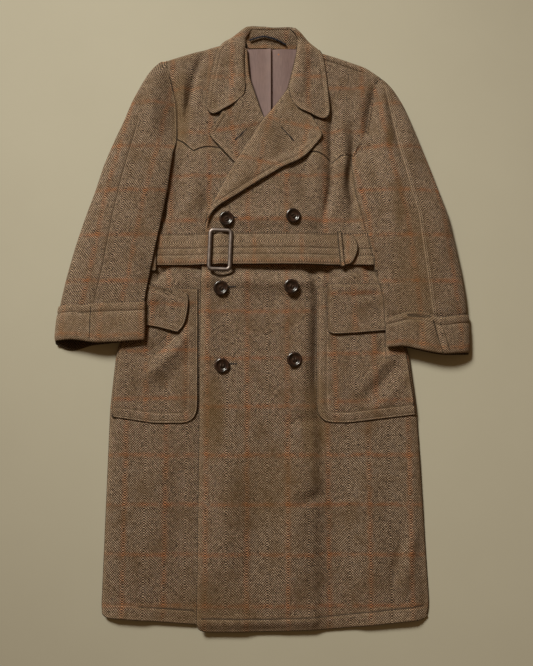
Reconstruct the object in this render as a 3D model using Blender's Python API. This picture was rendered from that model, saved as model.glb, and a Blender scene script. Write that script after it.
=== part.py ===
"""A belted double-breasted overcoat in heavy tweed, buttoned and laid flat on its back.

The coat lies on the plane z = 0 with its collar at +Y. Left and right are the wearer's, so the left side
is at +X, and the left front laps over the right one. Every panel is a flat cut that lies on the panels
below it: it is divided along one common lattice, and its height is read at the lattice's points, so two
panels that lie on each other stay parallel over every fold. Sizes are in millimetres.
"""

import math
from collections import Counter

import bmesh
import bpy
from mathutils import Vector
from mathutils.geometry import delaunay_2d_cdt

MM = 0.001

# Cloth
TWEED = 2.4
SATIN = 1.0
RIBBON = 1.2
SEAM = 0.3
PLY = TWEED + SEAM
FRONT_REST = TWEED + SEAM + SATIN + SEAM

# The lattice that all panels share
LATTICE_X = 26.0
LATTICE_Y = 44.0
LATTICE_REACH = 40
WELD = 1e-4
ARC_STEP = math.radians(24.0)
# Corners: the most of a side that an arc takes, and the bend below which a side runs straight on
ARC_SHARE = 0.45
STRAIGHT = 0.01
# Hard parts: the angle from which an edge shows, and steps each way when they are set down on the cloth
CREASE = math.radians(38.0)
SEAT_STEPS = 4

# Body: half outlines from the underarm down to the hem
# y, right side x, left side x
SIDES = (
    (296.0, -226.0, 232.0),
    (200.0, -222.0, 226.0),
    (123.0, -219.0, 223.0),
    (40.0, -243.0, 246.0),
    (-80.0, -275.0, 277.0),
    (-180.0, -284.0, 290.0),
    (-330.0, -288.0, 297.0),
    (-530.0, -290.0, 304.0),
)
BACK_INSET = 1.5

# Armhole seams from the shoulder down to where the sleeve's fold covers them
# y, x
ARMHOLE_RIGHT = ((504.0, -196.0), (465.0, -182.0), (420.0, -171.0), (344.0, -167.0))
ARMHOLE_LEFT = ((470.0, 236.0), (451.0, 222.0), (382.0, 213.0), (356.0, 206.0), (310.0, 176.0))
UNDERARM_RIGHT = ((-176.0, 318.0), (-200.0, 302.0))
UNDERARM_LEFT = ((192.0, 296.0),)

# Shoulders from the neck out to the armhole
# x, y
SHOULDER_RIGHT = ((-66.0, 543.0), (-137.0, 523.0))
SHOULDER_LEFT = ((96.0, 530.0), (149.0, 513.0), (206.0, 492.0))
NECK_RIGHT = (-29.0, 530.0)
NECK_LEFT = (70.0, 530.0)
NECK_DIP = (20.0, 534.0)

# Roll lines where the lapels turn back, from the neck down to the break
ROLL_RIGHT = ((-24.0, 470.0), (3.0, 389.0), (98.0, 166.0))
ROLL_LEFT = ((49.0, 444.0), (2.0, 380.0), (-67.0, 269.0), (-104.0, 190.0), (-109.0, 166.0))

# Scalloped yoke seams from the armhole in to the roll line
# x, y
SCALLOP_RIGHT = (
    (-153.0, 336.0),
    (-133.0, 319.0),
    (-120.0, 326.0),
    (-102.0, 329.0),
    (-86.0, 325.0),
    (-40.0, 338.0),
)
SCALLOP_LEFT = (
    (154.0, 308.0),
    (136.0, 296.0),
    (123.0, 309.0),
    (103.0, 317.0),
    (84.0, 315.0),
    (40.0, 335.0),
)
SCALLOP_EASE = 0.25

# Front edge of the left front, and the hems
FRONT_EDGE = ((-116.0, 62.0), (-114.0, -203.0), (-116.0, -384.0))
# x, y, corner radius
HEM_RIGHT = ((98.0, -566.0, 0.0), (-122.0, -568.0, 0.0), (-288.0, -556.0, 8.0))
HEM_LEFT = ((300.0, -559.0, 9.0), (123.0, -577.0, 0.0), (-3.0, -581.0, 0.0), (-117.0, -581.0, 14.0))
HEM_BACK = ((297.0, -551.0, 9.0), (0.0, -562.0, 0.0), (-285.0, -549.0, 8.0))

# Lapels and collar leaves
# x, y, corner radius
LAPEL_RIGHT = (
    (-40.0, 470.0, 0.0),
    (-70.0, 430.0, 0.0),
    (-79.0, 395.0, 0.0),
    (-106.0, 352.0, 7.0),
    (-53.0, 294.0, 0.0),
    (-26.0, 266.0, 0.0),
    (30.0, 328.0, 0.0),
)
LAPEL_LEFT = (
    (-90.0, 199.0, 30.0),
    (-33.0, 237.0, 0.0),
    (37.0, 281.0, 90.0),
    (84.0, 305.0, 60.0),
    (121.0, 348.0, 9.0),
    (96.0, 392.0, 0.0),
    (88.0, 455.0, 0.0),
    (62.0, 468.0, 0.0),
)
LEAF_RIGHT = (
    (-28.0, 579.0, 4.0),
    (-83.0, 545.0, 16.0),
    (-100.0, 478.0, 0.0),
    (-112.0, 385.0, 15.0),
    (-54.0, 410.0, 0.0),
    (-32.0, 428.0, 0.0),
    (-32.0, 452.0, 0.0),
)
LEAF_LEFT = (
    (52.0, 442.0, 0.0),
    (59.0, 414.0, 0.0),
    (74.0, 399.0, 0.0),
    (135.0, 381.0, 10.0),
    (128.0, 470.0, 0.0),
    (119.0, 529.0, 14.0),
    (86.0, 556.0, 0.0),
    (69.0, 577.0, 4.0),
    (70.0, 523.0, 0.0),
)
FALL_BACK = (
    (-86.0, 508.0, 8.0),
    (20.0, 496.0, 0.0),
    (114.0, 506.0, 8.0),
    (116.0, 528.0, 8.0),
    (68.0, 578.0, 4.0),
    (20.0, 576.0, 0.0),
    (-28.0, 581.2, 4.0),
    (-82.0, 543.0, 8.0),
)
STAND = (
    (80.0, 536.0, 0.0),
    (92.0, 546.0, 0.0),
    (68.0, 577.0, 4.0),
    (20.0, 575.5, 0.0),
    (-28.0, 580.0, 4.0),
    (-62.0, 552.0, 0.0),
    (-60.0, 543.0, 0.0),
)
NECK_FACING = (
    (-27.0, 533.0, 0.0),
    (68.0, 533.0, 0.0),
    (78.0, 560.0, 0.0),
    (66.0, 576.5, 4.0),
    (20.0, 575.0, 0.0),
    (-27.0, 579.5, 4.0),
    (-38.0, 560.0, 0.0),
)
LINING_LOW = 368.0
LINING_PLEAT_X = 18.0
LINING_TOP = 532.0
LINING_HALF_WIDTH = 66.0
HANGER_WIDTH = 5.0
HANGER_ROUTE = ((-26.0, 548.0), (-12.0, 553.0), (3.0, 556.0), (28.0, 551.0), (49.0, 540.0))

# Pockets and their flaps: inner edge, corners, then out to the side seam
POCKET_RIGHT = ((-121.0, 46.0, 0.0), (-119.0, -209.0, 27.0), (-200.0, -209.0, 0.0))
POCKET_LEFT = ((104.0, 48.0, 0.0), (102.0, -208.0, 27.0), (164.0, -208.0, 0.0))
FLAP_RIGHT = ((-139.0, 54.0, 0.0), (-142.0, -41.0, 22.0), (-215.0, -26.0, 0.0))
FLAP_LEFT = ((123.0, 54.0, 0.0), (123.0, -43.0, 10.0), (180.0, -40.0, 0.0))
POCKET_DEPTHS = (-197.0, -193.0)
FLAP_DEPTHS = (-20.0, -33.0)
SIDE_ROOM = 5.0

# Belt, buckle, keeper and loops
BELT_TOP = 152.0
BELT_FOOT = 90.0
# Rounded tip of the belt: x, y, corner radius
BELT_TIP = ((171.0, 90.0, 6.0), (185.0, 122.0, 20.0), (175.0, 152.0, 16.0))
BELT_SIDE_ROOM = 2.0
BELT_BASE_END = -78.0
TAIL_STEP_OUTER = -156.0
TAIL_STEP_INNER = -104.0
BUCKLE_CENTRE = (-79.5, 119.5)
BUCKLE_OUTER = (49.0, 84.0)
BUCKLE_WINDOW = (31.0, 68.0)
BUCKLE_CORNER = 6.0
BUCKLE_WINDOW_CORNER = 3.0
BUCKLE_THICK = 4.0
BUCKLE_EDGE = 1.2
BUCKLE_TILT = math.radians(-2.0)
KEEPER = (143.0, 86.0, 152.0, 155.0)
KEEPER_LEAN = 6.0
LOOP_WIDTH = 11.0
LOOP_X = (-206.0, 215.0)
LOOP_TOP = 164.0
LOOP_FOOT = 79.0

# Buttons: x, y of each, and the turned outline as radius and height
BUTTONS = ((-67.0, 179.0), (60.0, 185.0), (-77.0, 45.0), (56.0, 47.0), (-74.0, -102.0), (61.0, -91.0))
BUTTON_SIDES = 18
BUTTON_PROFILE = ((9.0, 0.0), (13.6, 1.1), (14.3, 2.6), (13.2, 4.6), (11.0, 4.4), (9.2, 3.0))
BUTTON_DISH = 2.6

# How the cloth lies: soft ridges with ends, reach to each side and height
# x and y of one end, x and y of the other, reach, height
RIDGES = (
    (108.0, 420.0, 96.0, 200.0, 20.0, 4.0),
    (150.0, 430.0, 146.0, 210.0, 17.0, 4.0),
    (-146.0, 470.0, -148.0, 380.0, 14.0, 4.0),
    (-150.0, 196.0, 150.0, 196.0, 20.0, 4.0),
    (-150.0, 60.0, 180.0, 58.0, 18.0, 3.0),
    (195.0, -90.0, 165.0, -190.0, 24.0, 4.0),
    (190.0, -270.0, 205.0, -540.0, 34.0, 4.0),
    (-205.0, -260.0, -210.0, -520.0, 34.0, 3.0),
    (30.0, -170.0, 45.0, -540.0, 40.0, 3.0),
    (285.0, -400.0, 255.0, -530.0, 22.0, 4.0),
)
# Lifts of one ply where a layer runs beneath the back: low x, low y, high x, high y
BELT_RUN = (-400.0, 88.0, 400.0, 176.0)
COLLAR_RUN = (-104.0, 484.0, 130.0, 640.0)
# Where the left front climbs over the right lapel: low x, low y, high x, high y
LAPEL_CLIMB = (-130.0, 220.0, 52.0, 440.0)

# Sleeves
# y, outer edge x, top seam x, inner edge x, height of the crest, underside over the body, underside on the
# floor, drop of the row at its outer edge; the first rows end on the armhole, the rest fold under
SLEEVE_RIGHT = (
    (501.0, -211.0, -207.0, -195.5, 9.0, 0.0, 0.0, 0.0),
    (465.0, -234.0, -225.0, -182.6, 15.0, 0.0, 0.0, 0.0),
    (420.0, -254.0, -233.0, -171.6, 18.0, 0.0, 0.0, 0.0),
    (380.0, -271.0, -242.0, -169.6, 20.0, 0.0, 0.0, 0.0),
    (344.0, -287.0, -250.0, -167.6, 22.0, 8.0, 0.0, 0.0),
    (318.0, -298.0, -257.0, -170.0, 23.0, 9.0, 0.0, 0.0),
    (290.0, -308.0, -263.0, -176.0, 24.0, 9.0, 0.0, 0.0),
    (237.0, -323.0, -276.0, -182.0, 25.0, 10.0, 0.0, 0.0),
    (184.0, -341.0, -285.0, -192.0, 26.0, 15.2, 0.0, 0.0),
    (123.0, -359.0, -295.0, -203.0, 28.0, 15.2, 0.0, 0.0),
    (66.0, -373.0, -305.0, -214.0, 28.0, 15.2, 0.0, 0.0),
    (34.0, -380.0, -310.0, -220.0, 28.0, 15.2, 3.0, 0.0),
    (15.0, -383.0, -316.0, -222.0, 28.0, 15.2, 3.0, 0.0),
    (-20.0, -386.0, -320.0, -222.0, 28.0, 15.2, 3.0, 0.0),
    (-57.0, -389.0, -322.0, -222.0, 28.0, 15.2, 3.0, 0.0),
)
SLEEVE_LEFT = (
    (463.0, 247.0, 241.5, 231.4, 11.0, 0.0, 0.0, 0.0),
    (451.0, 256.0, 243.0, 222.6, 12.0, 0.0, 0.0, 0.0),
    (414.0, 278.0, 254.0, 217.8, 17.0, 0.0, 0.0, 0.0),
    (382.0, 291.0, 259.0, 213.6, 19.0, 0.0, 0.0, 0.0),
    (356.0, 301.0, 263.0, 206.6, 20.0, 0.0, 0.0, 0.0),
    (310.0, 318.0, 271.0, 176.6, 22.0, 8.0, 0.0, 0.0),
    (285.0, 327.0, 275.0, 178.0, 24.0, 10.0, 0.0, 0.0),
    (236.0, 344.0, 286.0, 184.0, 25.0, 11.0, 0.0, 0.0),
    (190.0, 360.0, 299.0, 195.0, 26.0, 15.2, 0.0, 0.0),
    (139.0, 370.0, 304.0, 207.0, 28.0, 15.2, 0.0, 0.0),
    (80.0, 381.0, 311.0, 219.0, 28.0, 15.2, 0.0, 0.0),
    (28.0, 389.0, 317.0, 232.0, 28.0, 15.2, 3.0, 0.0),
    (0.0, 389.2, 320.0, 237.0, 28.0, 15.2, 3.0, -6.0),
    (-32.0, 389.2, 322.0, 237.0, 28.0, 15.2, 3.0, -10.0),
    (-66.0, 389.0, 324.0, 237.0, 28.0, 15.2, 3.0, -16.0),
)
# Rows before the first one that folds under, and rows that the cuff covers
CAP_ROWS = {"right": 4, "left": 5}
CUFF_ROWS = 3
CUFF_REACH = 2.0
# A sleeve's flattened section: rise at its edges, room beside the body and the width of its step up onto it
EDGE_RISE = 6.0
BODY_ROOM = 3.0
STEP_WIDTH = 14.0
# Shares of the way from the inner edge: under seam and foot of the fold (to the body's side), and the brow
# of the fold, the rise from the armhole, and the foot and brow of the outer edge (to the outer edge)
UNDER_SEAM = 0.62
FOLD_FOOT = 0.28
FOLD_BROW = 0.08
CAP_RISE = 0.16
OUTER_FOOT = 0.95
OUTER_BROW = 0.96
# Shares of the crest's height: beside the armhole, and half way out to the edge
CAP_RISE_HEIGHT = 0.55
OUTSIDE_HEIGHT = 0.9
# Spots round a section: the one on the top seam, and the first ones, which only a folded row has
TOP_SEAM = 5
FOLD_SPOTS = 2
# The least share of a normal that counts when a sharp fold is moved out
SHARPEST = 0.6

# Finishes: base colour, roughness, metallic
FINISHES = {
    "tweed": ((0.125, 0.083, 0.050, 1.0), 0.95, 0.0),
    "lining": ((0.190, 0.125, 0.110, 1.0), 0.45, 0.0),
    "hanger": ((0.012, 0.016, 0.045, 1.0), 0.60, 0.0),
    "button": ((0.030, 0.017, 0.011, 1.0), 0.20, 0.0),
    "buckle": ((0.100, 0.085, 0.070, 1.0), 0.38, 0.9),
}


def clear_scene():
    """Start from an empty scene."""
    for item in list(bpy.data.objects):
        bpy.data.objects.remove(item, do_unlink=True)


def finish(slot):
    """The material of one finish, made once."""
    material = bpy.data.materials.get(slot)
    if material:
        return material
    colour, roughness, metallic = FINISHES[slot]
    material = bpy.data.materials.new(slot)
    material.use_nodes = True
    shader = material.node_tree.nodes["Principled BSDF"]
    shader.inputs["Base Color"].default_value = colour
    shader.inputs["Roughness"].default_value = roughness
    shader.inputs["Metallic"].default_value = metallic
    return material


def add_solid(name, slot, corners, faces, smooth_angle=None):
    """Make a closed mesh from corners in millimetres, with its faces turned out."""
    work = bmesh.new()
    points = [work.verts.new(Vector(corner) * MM) for corner in corners]
    for face in faces:
        work.faces.new([points[index] for index in face])
    bmesh.ops.recalc_face_normals(work, faces=work.faces)
    mesh = bpy.data.meshes.new(name)
    work.to_mesh(mesh)
    work.free()
    if smooth_angle is not None:
        mesh.shade_smooth()
        mesh.set_sharp_from_angle(angle=smooth_angle)
    mesh.materials.append(finish(slot))
    item = bpy.data.objects.new(name, mesh)
    bpy.context.scene.collection.objects.link(item)
    return item


def thicken(name, slot, under, over, faces):
    """Close a sheet of cloth: its under side, its upper side and a wall along each free edge."""
    count = len(under)
    faces = [(face[0], face[step], face[step + 1]) for face in faces for step in range(1, len(face) - 1)]
    edges = Counter(frozenset(pair) for face in faces for pair in zip(face, face[1:] + face[:1]))
    walls = []
    for face in faces:
        for start, end in zip(face, face[1:] + face[:1]):
            if edges[frozenset((start, end))] == 1:
                walls.append((start, end, end + count, start + count))
    upper = [tuple(index + count for index in face) for face in faces]
    lower = [tuple(reversed(face)) for face in faces]
    return add_solid(name, slot, list(under) + list(over), lower + upper + walls)


def read_row(table, key, column):
    """Read a column of a table at a value of its first column, in straight steps between rows."""
    rows = sorted(table)
    if key <= rows[0][0]:
        return rows[0][column]
    for low, high in zip(rows, rows[1:]):
        if key <= high[0]:
            share = (key - low[0]) / (high[0] - low[0])
            return low[column] + share * (high[column] - low[column])
    return rows[-1][column]


def rounded(rows):
    """An outline through corners given as x, y and radius, with each radius as an arc."""
    outline = []
    count = len(rows)
    for index, (x, y, *radius) in enumerate(rows):
        corner = Vector((x, y))
        reach = radius[0] if radius else 0.0
        before = Vector(rows[index - 1][:2]) - corner
        after = Vector(rows[(index + 1) % count][:2]) - corner
        turn = before.angle(after)
        if reach <= 0.0 or turn > math.pi - STRAIGHT:
            outline.append(corner)
            continue
        length = min(reach / math.tan(turn / 2), ARC_SHARE * before.length, ARC_SHARE * after.length)
        reach = length * math.tan(turn / 2)
        bisector = (before.normalized() + after.normalized()).normalized()
        centre = corner + bisector * (reach / math.sin(turn / 2))
        first = corner + before.normalized() * length - centre
        sweep = first.angle_signed(corner + after.normalized() * length - centre)
        steps = max(2, math.ceil(abs(sweep) / ARC_STEP))
        for step in range(steps + 1):
            angle = -sweep * step / steps
            outline.append(centre + Vector((
                first.x * math.cos(angle) - first.y * math.sin(angle),
                first.x * math.sin(angle) + first.y * math.cos(angle),
            )))
    return outline


def within(x, y, box):
    """One inside a box, falling to nothing over the next lattice step outside it."""
    low_x, low_y, high_x, high_y = box
    past_x = max(low_x - x, x - high_x, 0.0) / LATTICE_X
    past_y = max(low_y - y, y - high_y, 0.0) / LATTICE_Y
    return max(0.0, 1.0 - past_x) * max(0.0, 1.0 - past_y)


def lift(x, y):
    """Height that the belt's run and the collar's fall give to the back that lies on them."""
    return PLY * max(within(x, y, BELT_RUN), within(x, y, COLLAR_RUN))


def lie(x, y):
    """Height of the fronts above their rest: the lifts and the largest folds."""
    height = lift(x, y)
    place = Vector((x, y))
    for x1, y1, x2, y2, reach, rise in RIDGES:
        start = Vector((x1, y1))
        run = Vector((x2, y2)) - start
        share = min(1.0, max(0.0, (place - start).dot(run) / run.length_squared))
        distance = (place - start - run * share).length
        height += rise * math.exp(-(distance / reach) ** 2)
    return height


def underlap_edge(y):
    """Inner edge of the right front: straight below the break, along its roll line above it."""
    top, foot = ROLL_RIGHT[1], ROLL_RIGHT[2]
    share = min(1.0, max(0.0, (y - foot[1]) / (top[1] - foot[1])))
    return foot[0] + share * (top[0] - foot[0])


def right_bed(x, y):
    """Underside of the right front and its yoke."""
    return FRONT_REST + lie(x, y)


def left_bed(x, y):
    """Underside of the left front: it climbs over the right front, and over its lapel."""
    past = (x - underlap_edge(y) - LATTICE_X) / LATTICE_X
    over_front = min(1.0, max(0.0, 1.0 - past)) if y < COLLAR_RUN[1] - LATTICE_Y else 0.0
    return right_bed(x, y) + PLY * over_front + PLY * within(x, y, LAPEL_CLIMB)


def tail_bed(x, y):
    """Underside of the belt's tail: on the right front, then over the left front and the belt's base."""
    step = (x - TAIL_STEP_OUTER) / (TAIL_STEP_INNER - TAIL_STEP_OUTER)
    share = min(1.0, max(0.0, step))
    low = right_bed(x, y) + PLY
    return low + share * (left_bed(x, y) + 2 * PLY - low)


def raised(bed, plies):
    """A bed moved up by a number of plies."""
    return lambda x, y: bed(x, y) + plies * PLY


def on_lattice(bed, x, y):
    """Height of a bed at a place, in flat facets between the lattice's points."""
    column = math.floor(x / LATTICE_X)
    row = math.floor(y / LATTICE_Y)
    across = x / LATTICE_X - column
    along = y / LATTICE_Y - row

    def corner(right, up):
        return bed((column + right) * LATTICE_X, (row + up) * LATTICE_Y)

    near, far = corner(0, 0), corner(1, 1)
    if along >= across:
        side = corner(0, 1)
        return near + (far - side) * across + (side - near) * along
    side = corner(1, 0)
    return near + (side - near) * across + (far - side) * along


def lattice_lines(outline):
    """Ends of the lattice's three families of lines over the box of an outline."""
    low_x = min(point.x for point in outline) - LATTICE_X
    high_x = max(point.x for point in outline) + LATTICE_X
    low_y = min(point.y for point in outline) - LATTICE_Y
    high_y = max(point.y for point in outline) + LATTICE_Y
    lines = []
    for step in range(-LATTICE_REACH, LATTICE_REACH + 1):
        x = step * LATTICE_X
        y = step * LATTICE_Y
        if low_x < x < high_x:
            lines.append(((x, low_y), (x, high_y)))
        if low_y < y < high_y:
            lines.append(((low_x, y), (high_x, y)))
        slope = LATTICE_Y / LATTICE_X
        start, end = low_x * slope + y, high_x * slope + y
        if start < high_y and end > low_y:
            lines.append(((low_x, start), (high_x, end)))
    return lines


def divide(outline):
    """Divide a flat outline along the lattice: its points, and its triangles as indices."""
    pairs = zip(outline, outline[1:] + outline[:1])
    if sum(start.x * end.y - end.x * start.y for start, end in pairs) < 0.0:
        outline = outline[::-1]
    points = [Vector(point) for point in outline]
    edges = []
    for start, end in lattice_lines(outline):
        edges.append((len(points), len(points) + 1))
        points += [Vector(start), Vector(end)]
    border = list(range(len(outline)))
    places, _, faces, _, _, origins = delaunay_2d_cdt(points, edges, [border], 0, WELD, True)
    kept = [tuple(face) for face, origin in zip(faces, origins) if origin]
    used = sorted({index for face in kept for index in face})
    renumber = {old: new for new, old in enumerate(used)}
    return [places[index] for index in used], [tuple(renumber[index] for index in face) for face in kept]


def panel(name, rows, bed, thickness=TWEED, slot="tweed"):
    """A flat cut that lies on a bed."""
    places, faces = divide(rounded(rows))
    heights = [on_lattice(bed, place.x, place.y) for place in places]
    under = [(place.x, place.y, height) for place, height in zip(places, heights)]
    over = [(place.x, place.y, height + thickness) for place, height in zip(places, heights)]
    return thicken(name, slot, under, over, faces)


def side_points(column, inset=0.0):
    """Points of a side seam from the underarm down to the hem."""
    sign = -1.0 if column == 1 else 1.0
    return [(row[column] - sign * inset, row[0]) for row in SIDES]


def armhole_points(table):
    """Points of an armhole seam from the shoulder down."""
    return [(x, y) for y, x in table]


def moved_y(points, distance):
    """Points moved along the coat's length."""
    return [(x, y + distance) for x, y in points]


def add_body():
    """The back, the two fronts and the two yokes."""
    armhole_right = armhole_points(ARMHOLE_RIGHT)
    armhole_left = armhole_points(ARMHOLE_LEFT)
    back = list(HEM_BACK) + side_points(1, BACK_INSET)[::-1] + list(UNDERARM_RIGHT)[::-1]
    back += armhole_right[::-1] + list(SHOULDER_RIGHT)[::-1] + [NECK_DIP]
    back += list(SHOULDER_LEFT) + armhole_left + list(UNDERARM_LEFT) + side_points(2, BACK_INSET)
    panel("back", back, lift)

    right = list(HEM_RIGHT) + side_points(1)[::-1] + list(UNDERARM_RIGHT)[::-1]
    right += moved_y([armhole_right[-1]] + list(SCALLOP_RIGHT) + [ROLL_RIGHT[1]], -SCALLOP_EASE)
    right += [ROLL_RIGHT[2]]
    panel("front_right", right, right_bed)

    left = list(HEM_LEFT) + list(FRONT_EDGE)[::-1] + list(ROLL_LEFT)[:1:-1]
    left += moved_y([ROLL_LEFT[1]] + list(SCALLOP_LEFT)[::-1] + [armhole_left[-1]], -SCALLOP_EASE)
    left += list(UNDERARM_LEFT) + side_points(2)
    panel("front_left", left, left_bed)

    yoke_right = moved_y([ROLL_RIGHT[1]] + list(SCALLOP_RIGHT)[::-1] + [armhole_right[-1]], SCALLOP_EASE)
    yoke_right += armhole_right[-2::-1] + list(SHOULDER_RIGHT)[::-1] + [NECK_RIGHT, ROLL_RIGHT[0]]
    panel("yoke_right", yoke_right, right_bed)

    yoke_left = moved_y([armhole_left[-1]] + list(SCALLOP_LEFT) + [ROLL_LEFT[1]], SCALLOP_EASE)
    yoke_left += [ROLL_LEFT[0], NECK_LEFT] + list(SHOULDER_LEFT) + armhole_left[:-1]
    panel("yoke_left", yoke_left, left_bed)


def add_collar():
    """Lapels, collar leaves, the fall behind the neck, the stand, and what shows inside it."""
    panel("lapel_right", list(LAPEL_RIGHT) + [ROLL_RIGHT[1], ROLL_RIGHT[0]], raised(right_bed, 1))
    panel("lapel_left", list(LAPEL_LEFT) + list(ROLL_LEFT), raised(left_bed, 1))
    panel("collar_leaf_right", LEAF_RIGHT, raised(right_bed, 2))
    panel("collar_leaf_left", LEAF_LEFT, raised(left_bed, 2))
    panel("collar_fall", FALL_BACK, lambda x, y: 0.0)
    panel("collar_stand", STAND, lift)
    panel("neck_facing", NECK_FACING, raised(lift, 1))

    for side, sign in (("right", -1.0), ("left", 1.0)):
        inner = LINING_PLEAT_X + sign * SEAM / 2
        outer = LINING_PLEAT_X + sign * LINING_HALF_WIDTH
        rows = ((inner, LINING_TOP), (inner, LINING_LOW), (outer, LINING_LOW), (outer, LINING_TOP))
        panel("lining_" + side, rows, raised(lift, 1), SATIN, "lining")

    route = [Vector(point) for point in HANGER_ROUTE]
    near, far = [], []
    for index, point in enumerate(route):
        run = route[min(index + 1, len(route) - 1)] - route[max(index - 1, 0)]
        across = Vector((-run.y, run.x)).normalized() * HANGER_WIDTH / 2
        near.append(tuple(point + across))
        far.append(tuple(point - across))
    panel("hanger_loop", near + far[::-1], raised(lift, 2), RIBBON, "hanger")


def add_pockets():
    """A patch pocket and its flap on each front, both out to the side seam."""
    for side, column, sign, bed, pocket, flap, which in (
        ("right", 1, -1.0, right_bed, POCKET_RIGHT, FLAP_RIGHT, 0),
        ("left", 2, 1.0, left_bed, POCKET_LEFT, FLAP_LEFT, 1),
    ):
        for name, rows, depth, plies in (
            ("pocket_", pocket, POCKET_DEPTHS[which], 1),
            ("flap_", flap, FLAP_DEPTHS[which], 2),
        ):
            top = rows[0][1]
            heights = [depth] + [row[0] for row in SIDES[::-1] if depth < row[0] < top] + [top]
            seam = [(read_row(SIDES, y, column) - sign * SIDE_ROOM, y) for y in heights]
            panel(name + side, list(rows) + seam, raised(bed, plies))


def add_belt():
    """The belt's run behind the back, its base, its tail, the keeper and the side loops."""
    right_end = read_row(SIDES, BELT_TOP, 1) + BELT_SIDE_ROOM
    left_end = read_row(SIDES, BELT_TOP, 2) - BELT_SIDE_ROOM
    run = ((right_end, BELT_FOOT), (left_end, BELT_FOOT), (left_end, BELT_TOP), (right_end, BELT_TOP))
    panel("belt_back", run, lambda x, y: 0.0)
    start = BELT_BASE_END
    base = ((start, BELT_FOOT), (left_end, BELT_FOOT), (left_end, BELT_TOP), (start, BELT_TOP))
    panel("belt_base", base, raised(left_bed, 1))
    tail = ((right_end, BELT_FOOT),) + BELT_TIP + ((right_end, BELT_TOP),)
    panel("belt_tail", tail, tail_bed)
    low_x, low_y, high_x, high_y = KEEPER
    keeper = ((low_x + KEEPER_LEAN, low_y), (high_x + KEEPER_LEAN, low_y), (high_x, high_y), (low_x, high_y))
    panel("belt_keeper", keeper, raised(tail_bed, 1))
    for side, centre, bed in (("right", LOOP_X[0], tail_bed), ("left", LOOP_X[1], raised(left_bed, 1))):
        low, high = centre - LOOP_WIDTH / 2, centre + LOOP_WIDTH / 2
        rows = ((low, LOOP_FOOT), (high, LOOP_FOOT), (high, LOOP_TOP), (low, LOOP_TOP))
        panel("belt_loop_" + side, rows, raised(bed, 1))


def seat(bed, x, y, half_width, half_height):
    """Height that clears a bed's cloth all over a small footprint."""
    shares = [step / SEAT_STEPS for step in range(-SEAT_STEPS, SEAT_STEPS + 1)]
    spots = [(x + half_width * u, y + half_height * v) for u in shares for v in shares]
    return max(on_lattice(bed, *spot) for spot in spots) + PLY


def add_buckle():
    """The rectangular buckle that lies on the belt's tail: a flat frame with softened edges."""
    x, y = BUCKLE_CENTRE
    floor = seat(tail_bed, x, y, BUCKLE_OUTER[0] / 2, BUCKLE_OUTER[1] / 2)

    def loop(size, radius, inset, height):
        half_x, half_y = size[0] / 2 - inset, size[1] / 2 - inset
        corners = ((-half_x, -half_y), (half_x, -half_y), (half_x, half_y), (-half_x, half_y))
        outline = rounded([corner + (radius,) for corner in corners])
        cos, sin = math.cos(BUCKLE_TILT), math.sin(BUCKLE_TILT)
        return [(x + p.x * cos - p.y * sin, y + p.x * sin + p.y * cos, floor + height) for p in outline]

    high, edge = BUCKLE_THICK, BUCKLE_EDGE
    loops = (
        loop(BUCKLE_OUTER, BUCKLE_CORNER, edge, 0.0),
        loop(BUCKLE_OUTER, BUCKLE_CORNER, 0.0, edge),
        loop(BUCKLE_OUTER, BUCKLE_CORNER, 0.0, high - edge),
        loop(BUCKLE_OUTER, BUCKLE_CORNER, edge, high),
        loop(BUCKLE_WINDOW, BUCKLE_WINDOW_CORNER, -edge, high),
        loop(BUCKLE_WINDOW, BUCKLE_WINDOW_CORNER, 0.0, high - edge),
        loop(BUCKLE_WINDOW, BUCKLE_WINDOW_CORNER, 0.0, edge),
        loop(BUCKLE_WINDOW, BUCKLE_WINDOW_CORNER, -edge, 0.0),
    )
    count = len(loops[0])
    faces = []
    for ring in range(len(loops)):
        this, after = ring * count, (ring + 1) % len(loops) * count
        for step in range(count):
            ahead = (step + 1) % count
            faces.append((this + step, this + ahead, after + ahead, after + step))
    add_solid("buckle", "buckle", [point for ring in loops for point in ring], faces, CREASE)


def add_buttons():
    """Six turned buttons with a raised rim and a dished face."""
    for number, (x, y) in enumerate(BUTTONS, start=1):
        radius = max(point[0] for point in BUTTON_PROFILE)
        floor = seat(left_bed, x, y, radius, radius)
        points = []
        for reach, height in BUTTON_PROFILE:
            for step in range(BUTTON_SIDES):
                angle = 2 * math.pi * step / BUTTON_SIDES
                points.append((x + reach * math.cos(angle), y + reach * math.sin(angle), floor + height))
        points += [(x, y, floor), (x, y, floor + BUTTON_DISH)]
        foot, dish = len(points) - 2, len(points) - 1
        last = (len(BUTTON_PROFILE) - 1) * BUTTON_SIDES
        faces = []
        for step in range(BUTTON_SIDES):
            ahead = (step + 1) % BUTTON_SIDES
            faces.append((foot, ahead, step))
            faces.append((dish, last + step, last + ahead))
            for ring in range(len(BUTTON_PROFILE) - 1):
                low, high = ring * BUTTON_SIDES, (ring + 1) * BUTTON_SIDES
                faces.append((low + step, low + ahead, high + ahead, high + step))
        add_solid("button_%d" % number, "button", points, faces, CREASE)


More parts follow.
